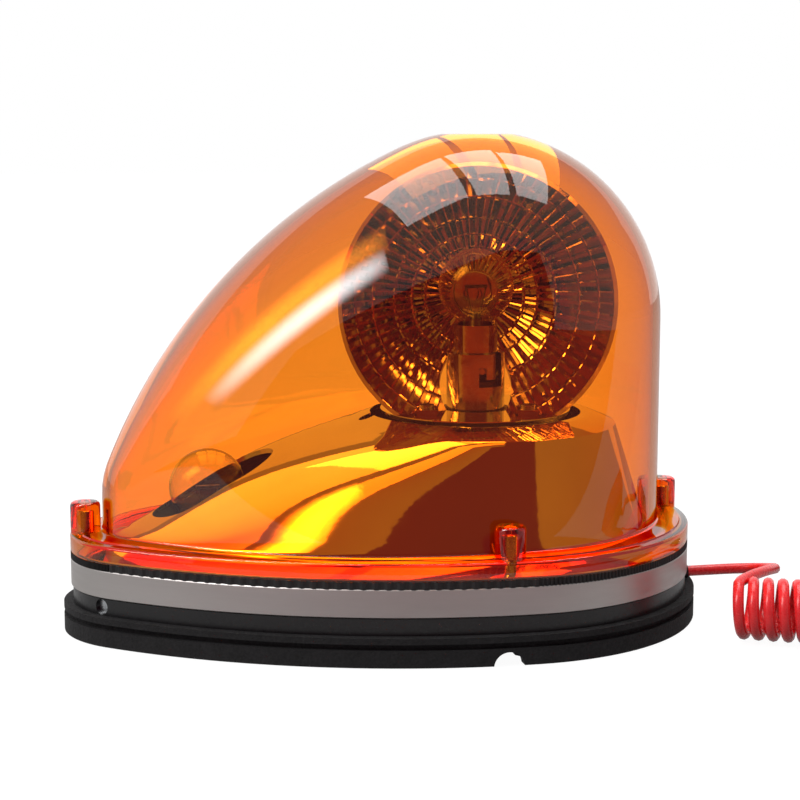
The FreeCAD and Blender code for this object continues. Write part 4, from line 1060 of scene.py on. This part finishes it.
# ------------------------------------------------------------------ studio
@dataclass
class Studio:
    """White floor and surround, soft lamps and the camera; distances in metres."""

    camera_at: Point = (-0.162932, -0.617381, 0.167957)
    azimuth: float = -12.44
    elevation: float = 8.43
    lens: float = 83.345
    floor_reach: float = 6.0
    floor_height: float = -0.0003
    floor_levels: Tuple[float, float] = (0.95, 0.4)
    world_levels: Tuple[float, float] = (1.0, 0.45)
    world_light: float = 0.45
    strip_power: float = 1900.0
    window_places: Tuple[float, ...] = (-0.28, 0.12, 0.52)
    window_power: float = 3.6
    ceiling_x: float = -0.45
    ceiling_height: float = 1.6
    ceiling_width: float = 2.3
    ceiling_places: Tuple[Tuple[float, float], ...] = ((0.65, 1.7), (-0.66, 0.46))
    ceiling_power: float = 6.5
    card_sides: Tuple[float, float] = (-2.6, 1.1)
    card_front: float = -1.7
    card_height: float = 1.75
    floor_card_back: float = -0.2
    floor_card_height: float = 0.0006
    back_card_y: float = 1.8
    back_card_reach: float = 3.0
    back_card_height: float = 1.4

    @staticmethod
    def dim_edges(light: bpy.types.Light, feather: Sequence[float]) -> None:
        """Make a lamp dim towards its edges.

        Args:
            light: the lamp's light.
            feather: how fast it dims towards its left, right, lower and upper edge.
        """
        light.use_nodes = True
        tree = light.node_tree
        tree.nodes.clear()
        face = add_node(tree, "ShaderNodeNewGeometry").outputs["Parametric"]
        rest = add_node(tree, "ShaderNodeVectorMath", {0: (1, 1, 1), 1: face},
                        operation="SUBTRACT").outputs["Vector"]
        near, far = (add_node(tree, "ShaderNodeSeparateXYZ", {"Vector": place})
                     for place in (face, rest))
        level = 1.0
        for softness, (node, axis) in zip(feather, ((near, "X"), (far, "X"), (near, "Y"),
                                                    (far, "Y"))):
            dimmed = add_node(tree, "ShaderNodeMath", {0: node.outputs[axis], 1: softness},
                              operation="POWER")
            level = add_node(tree, "ShaderNodeMath", {0: dimmed.outputs["Value"], 1: level},
                             operation="MULTIPLY").outputs["Value"]
        glow = add_node(tree, "ShaderNodeEmission", {"Strength": level})
        add_node(tree, "ShaderNodeOutputLight", {"Surface": glow.outputs["Emission"]})

    def soft_lamp(self, name: str, at: Point, towards: Point, size: Tuple[float, float],
                  power: float, along: Point = (0, 0, 1), feather: Sequence[float] = (),
                  only: Sequence[bpy.types.Object] = ()) -> None:
        """Add a rectangular soft lamp.

        Args:
            name: the lamp's name.
            at: its centre.
            towards: point that it faces.
            size: its width and length.
            power: its power in watts.
            along: direction of its length.
            feather: how fast it dims towards its left, right, lower and upper edge.
            only: objects that it lights, or nothing for all.
        """
        light = bpy.data.lights.new(name, "AREA")
        light.shape = "RECTANGLE"
        light.size, light.size_y = size
        light.energy = power
        lamp = add_object(name, light)
        back = (Vector(at) - Vector(towards)).normalized()
        up = (Vector(along) - back * back.dot(Vector(along))).normalized()
        side = up.cross(back)
        lamp.matrix_world = Matrix.Translation(at) @ Matrix((side, up, back)).transposed().to_4x4()
        if feather:
            self.dim_edges(light, feather)
        if only:
            lit = bpy.data.collections.new(name)
            for piece in only:
                lit.objects.link(piece)
            lamp.light_linking.receiver_collection = lit

    @staticmethod
    def flat(name: str, corners: Sequence[Point], material: bpy.types.Material
             ) -> bpy.types.Object:
        """Add one flat face to the studio, apart from the object.

        Args:
            name: the face's name.
            corners: its four corners.
            material: its material.

        Returns:
            The new object.
        """
        mesh = bpy.data.meshes.new(name)
        mesh.from_pydata(corners, [], [(0, 1, 2, 3)])
        mesh.materials.append(material)
        face = add_object(name, mesh)
        return face

    def card(self, name: str, corners: Sequence[Point], colour: str) -> None:
        """Add a card that only shows in glossy surfaces.

        Args:
            name: the card's name.
            corners: its four corners.
            colour: its colour.
        """
        made = blank_material(name)
        glow = add_node(made.node_tree, "ShaderNodeEmission", {
            "Color": srgb(colour), "Strength": 1.0})
        add_node(made.node_tree, "ShaderNodeOutputMaterial", {
            "Surface": glow.outputs["Emission"]})
        card = self.flat(name, corners, made)
        card.visible_camera = False
        card.visible_diffuse = False
        card.visible_transmission = False
        card.visible_shadow = False

    @staticmethod
    def backdrop_level(tree: bpy.types.NodeTree, seen_level: float, gloss_level: float
                       ) -> bpy.types.NodeSocket:
        """Give a brightness for what shows directly or through glass, and another in gloss.

        Args:
            tree: node tree to add to.
            seen_level: brightness seen directly and through glass.
            gloss_level: brightness in glossy surfaces.

        Returns:
            The brightness socket, 0 for the light that the backdrop gives.
        """
        path = add_node(tree, "ShaderNodeLightPath")
        seen = add_node(tree, "ShaderNodeMath", {
            0: path.outputs["Is Camera Ray"], 1: path.outputs["Is Transmission Ray"]},
            operation="MAXIMUM")
        seen = add_node(tree, "ShaderNodeMath", {0: seen.outputs["Value"], 1: seen_level},
                        operation="MULTIPLY")
        gloss = add_node(tree, "ShaderNodeMath", {
            0: path.outputs["Is Glossy Ray"], 1: gloss_level}, operation="MULTIPLY")
        return add_node(tree, "ShaderNodeMath", {
            0: seen.outputs["Value"], 1: gloss.outputs["Value"]},
            operation="MAXIMUM").outputs["Value"]

    def floor(self) -> None:
        """Lay the white floor, which keeps the object's shadow."""
        made = blank_material("floor_paper")
        level = self.backdrop_level(made.node_tree, *self.floor_levels)
        paper = add_node(made.node_tree, "ShaderNodeBsdfPrincipled", {
            "Base Color": srgb("#505050"), "Roughness": 0.9,
            "Emission Color": srgb("#FFFFFF"), "Emission Strength": level})
        add_node(made.node_tree, "ShaderNodeOutputMaterial", {"Surface": paper.outputs["BSDF"]})
        reach, height = self.floor_reach, self.floor_height
        self.flat("floor", ((-reach, -reach, height), (reach, -reach, height),
                            (reach, reach, height), (-reach, reach, height)), made)

    def surround(self) -> None:
        """Make the world white behind the object and calmer for the light that it gives."""
        world = bpy.data.worlds.new("surround")
        bpy.context.scene.world = world
        world.use_nodes = True
        tree = world.node_tree
        tree.nodes.clear()
        level = add_node(tree, "ShaderNodeMath", {
            0: self.backdrop_level(tree, *self.world_levels), 1: self.world_light},
            operation="MAXIMUM")
        light = add_node(tree, "ShaderNodeBackground", {
            "Color": srgb("#FFFFFF"), "Strength": level.outputs["Value"]})
        add_node(tree, "ShaderNodeOutputWorld", {"Surface": light.outputs["Background"]})

    def camera(self) -> None:
        """Stand the camera before the object, a little to its nose's side and above it."""
        data = bpy.data.cameras.new("camera")
        data.lens = self.lens
        data.sensor_width = 36.0
        data.clip_start = 0.01
        camera = add_object("camera", data)
        camera.location = self.camera_at
        camera.rotation_euler = (math.radians(90 - self.elevation), 0,
                                 math.radians(self.azimuth))
        bpy.context.scene.camera = camera

    def build(self, bright: Sequence[bpy.types.Object]) -> None:
        """Set up the studio.

        Args:
            bright: the mirror-like pieces, which the ceiling lamps light.
        """
        self.floor()
        self.surround()
        self.soft_lamp("side_strip", (-0.9, -0.33, 0.8), (-0.07, -0.04, 0.1), (0.44, 1.0),
                       self.strip_power, (0.654, -0.178, 0.566), feather=(2.5, 2.5, 0.9, 0.5))
        for index, x in enumerate(self.window_places):
            self.soft_lamp("window_%d" % index, (x, 0.25, 1.25), (0.0, 0.0, 0.1), (0.34, 0.9),
                           self.window_power, (0, 1, 0))
        # the ceiling's power is in watts to the square metre
        x, width = self.ceiling_x, self.ceiling_width
        for index, (y, depth) in enumerate(self.ceiling_places):
            self.soft_lamp("ceiling_%d" % index, (x, y, self.ceiling_height), (x, y, 0.0),
                           (width, depth), self.ceiling_power * width * depth, (0, 1, 0),
                           only=bright)
        left, right = self.card_sides
        front, top = self.card_front, self.card_height
        self.card("front_card", ((left, front, 0.0), (right, front, 0.0), (right, front, top),
                                 (left, front, top)), "#734255")
        back, low = self.floor_card_back, self.floor_card_height
        self.card("floor_card", ((left, front, low), (right, front, low), (right, back, low),
                                 (left, back, low)), "#A8605E")
        reach, back, top = self.back_card_reach, self.back_card_y, self.back_card_height
        self.card("back_card", ((-reach, back, 0.0), (reach, back, 0.0), (reach, back, top),
                                (-reach, back, top)), "#FFFFFF")
        self.camera()
        bpy.context.scene.view_settings.view_transform = "Standard"


def dress_nodes() -> None:
    """Give every carried-over node the finish of its real material."""
    for finish, names in NODE_FINISHES.items():
        for name in names:
            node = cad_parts[name]
            node.data.materials.clear()
            node.data.materials.append(finish.material())


def main() -> None:
    """Build the beacon and its studio."""
    logging.basicConfig(level=logging.INFO, format="%(message)s")
    CurlyLead().build()
    dress_nodes()
    for part in (Lens(), Cover(), Reflector(), BaseTrim(), Lamp("lamp_glass", 0.0, 113.0),
                 Lamp("nose_lamp_glass", -93.2, 46.9)):
        part.build()
    bright = [bpy.data.objects[name] for name in ("bright_cover", "bright_brim",
                                                  "fluted_reflector", "reflector_feet")]
    bright += [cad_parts[name] for name in ("turntable", "socket_tube", "lamp_cap")]
    Studio().build(bright)


if __name__ == "__main__":
    main()
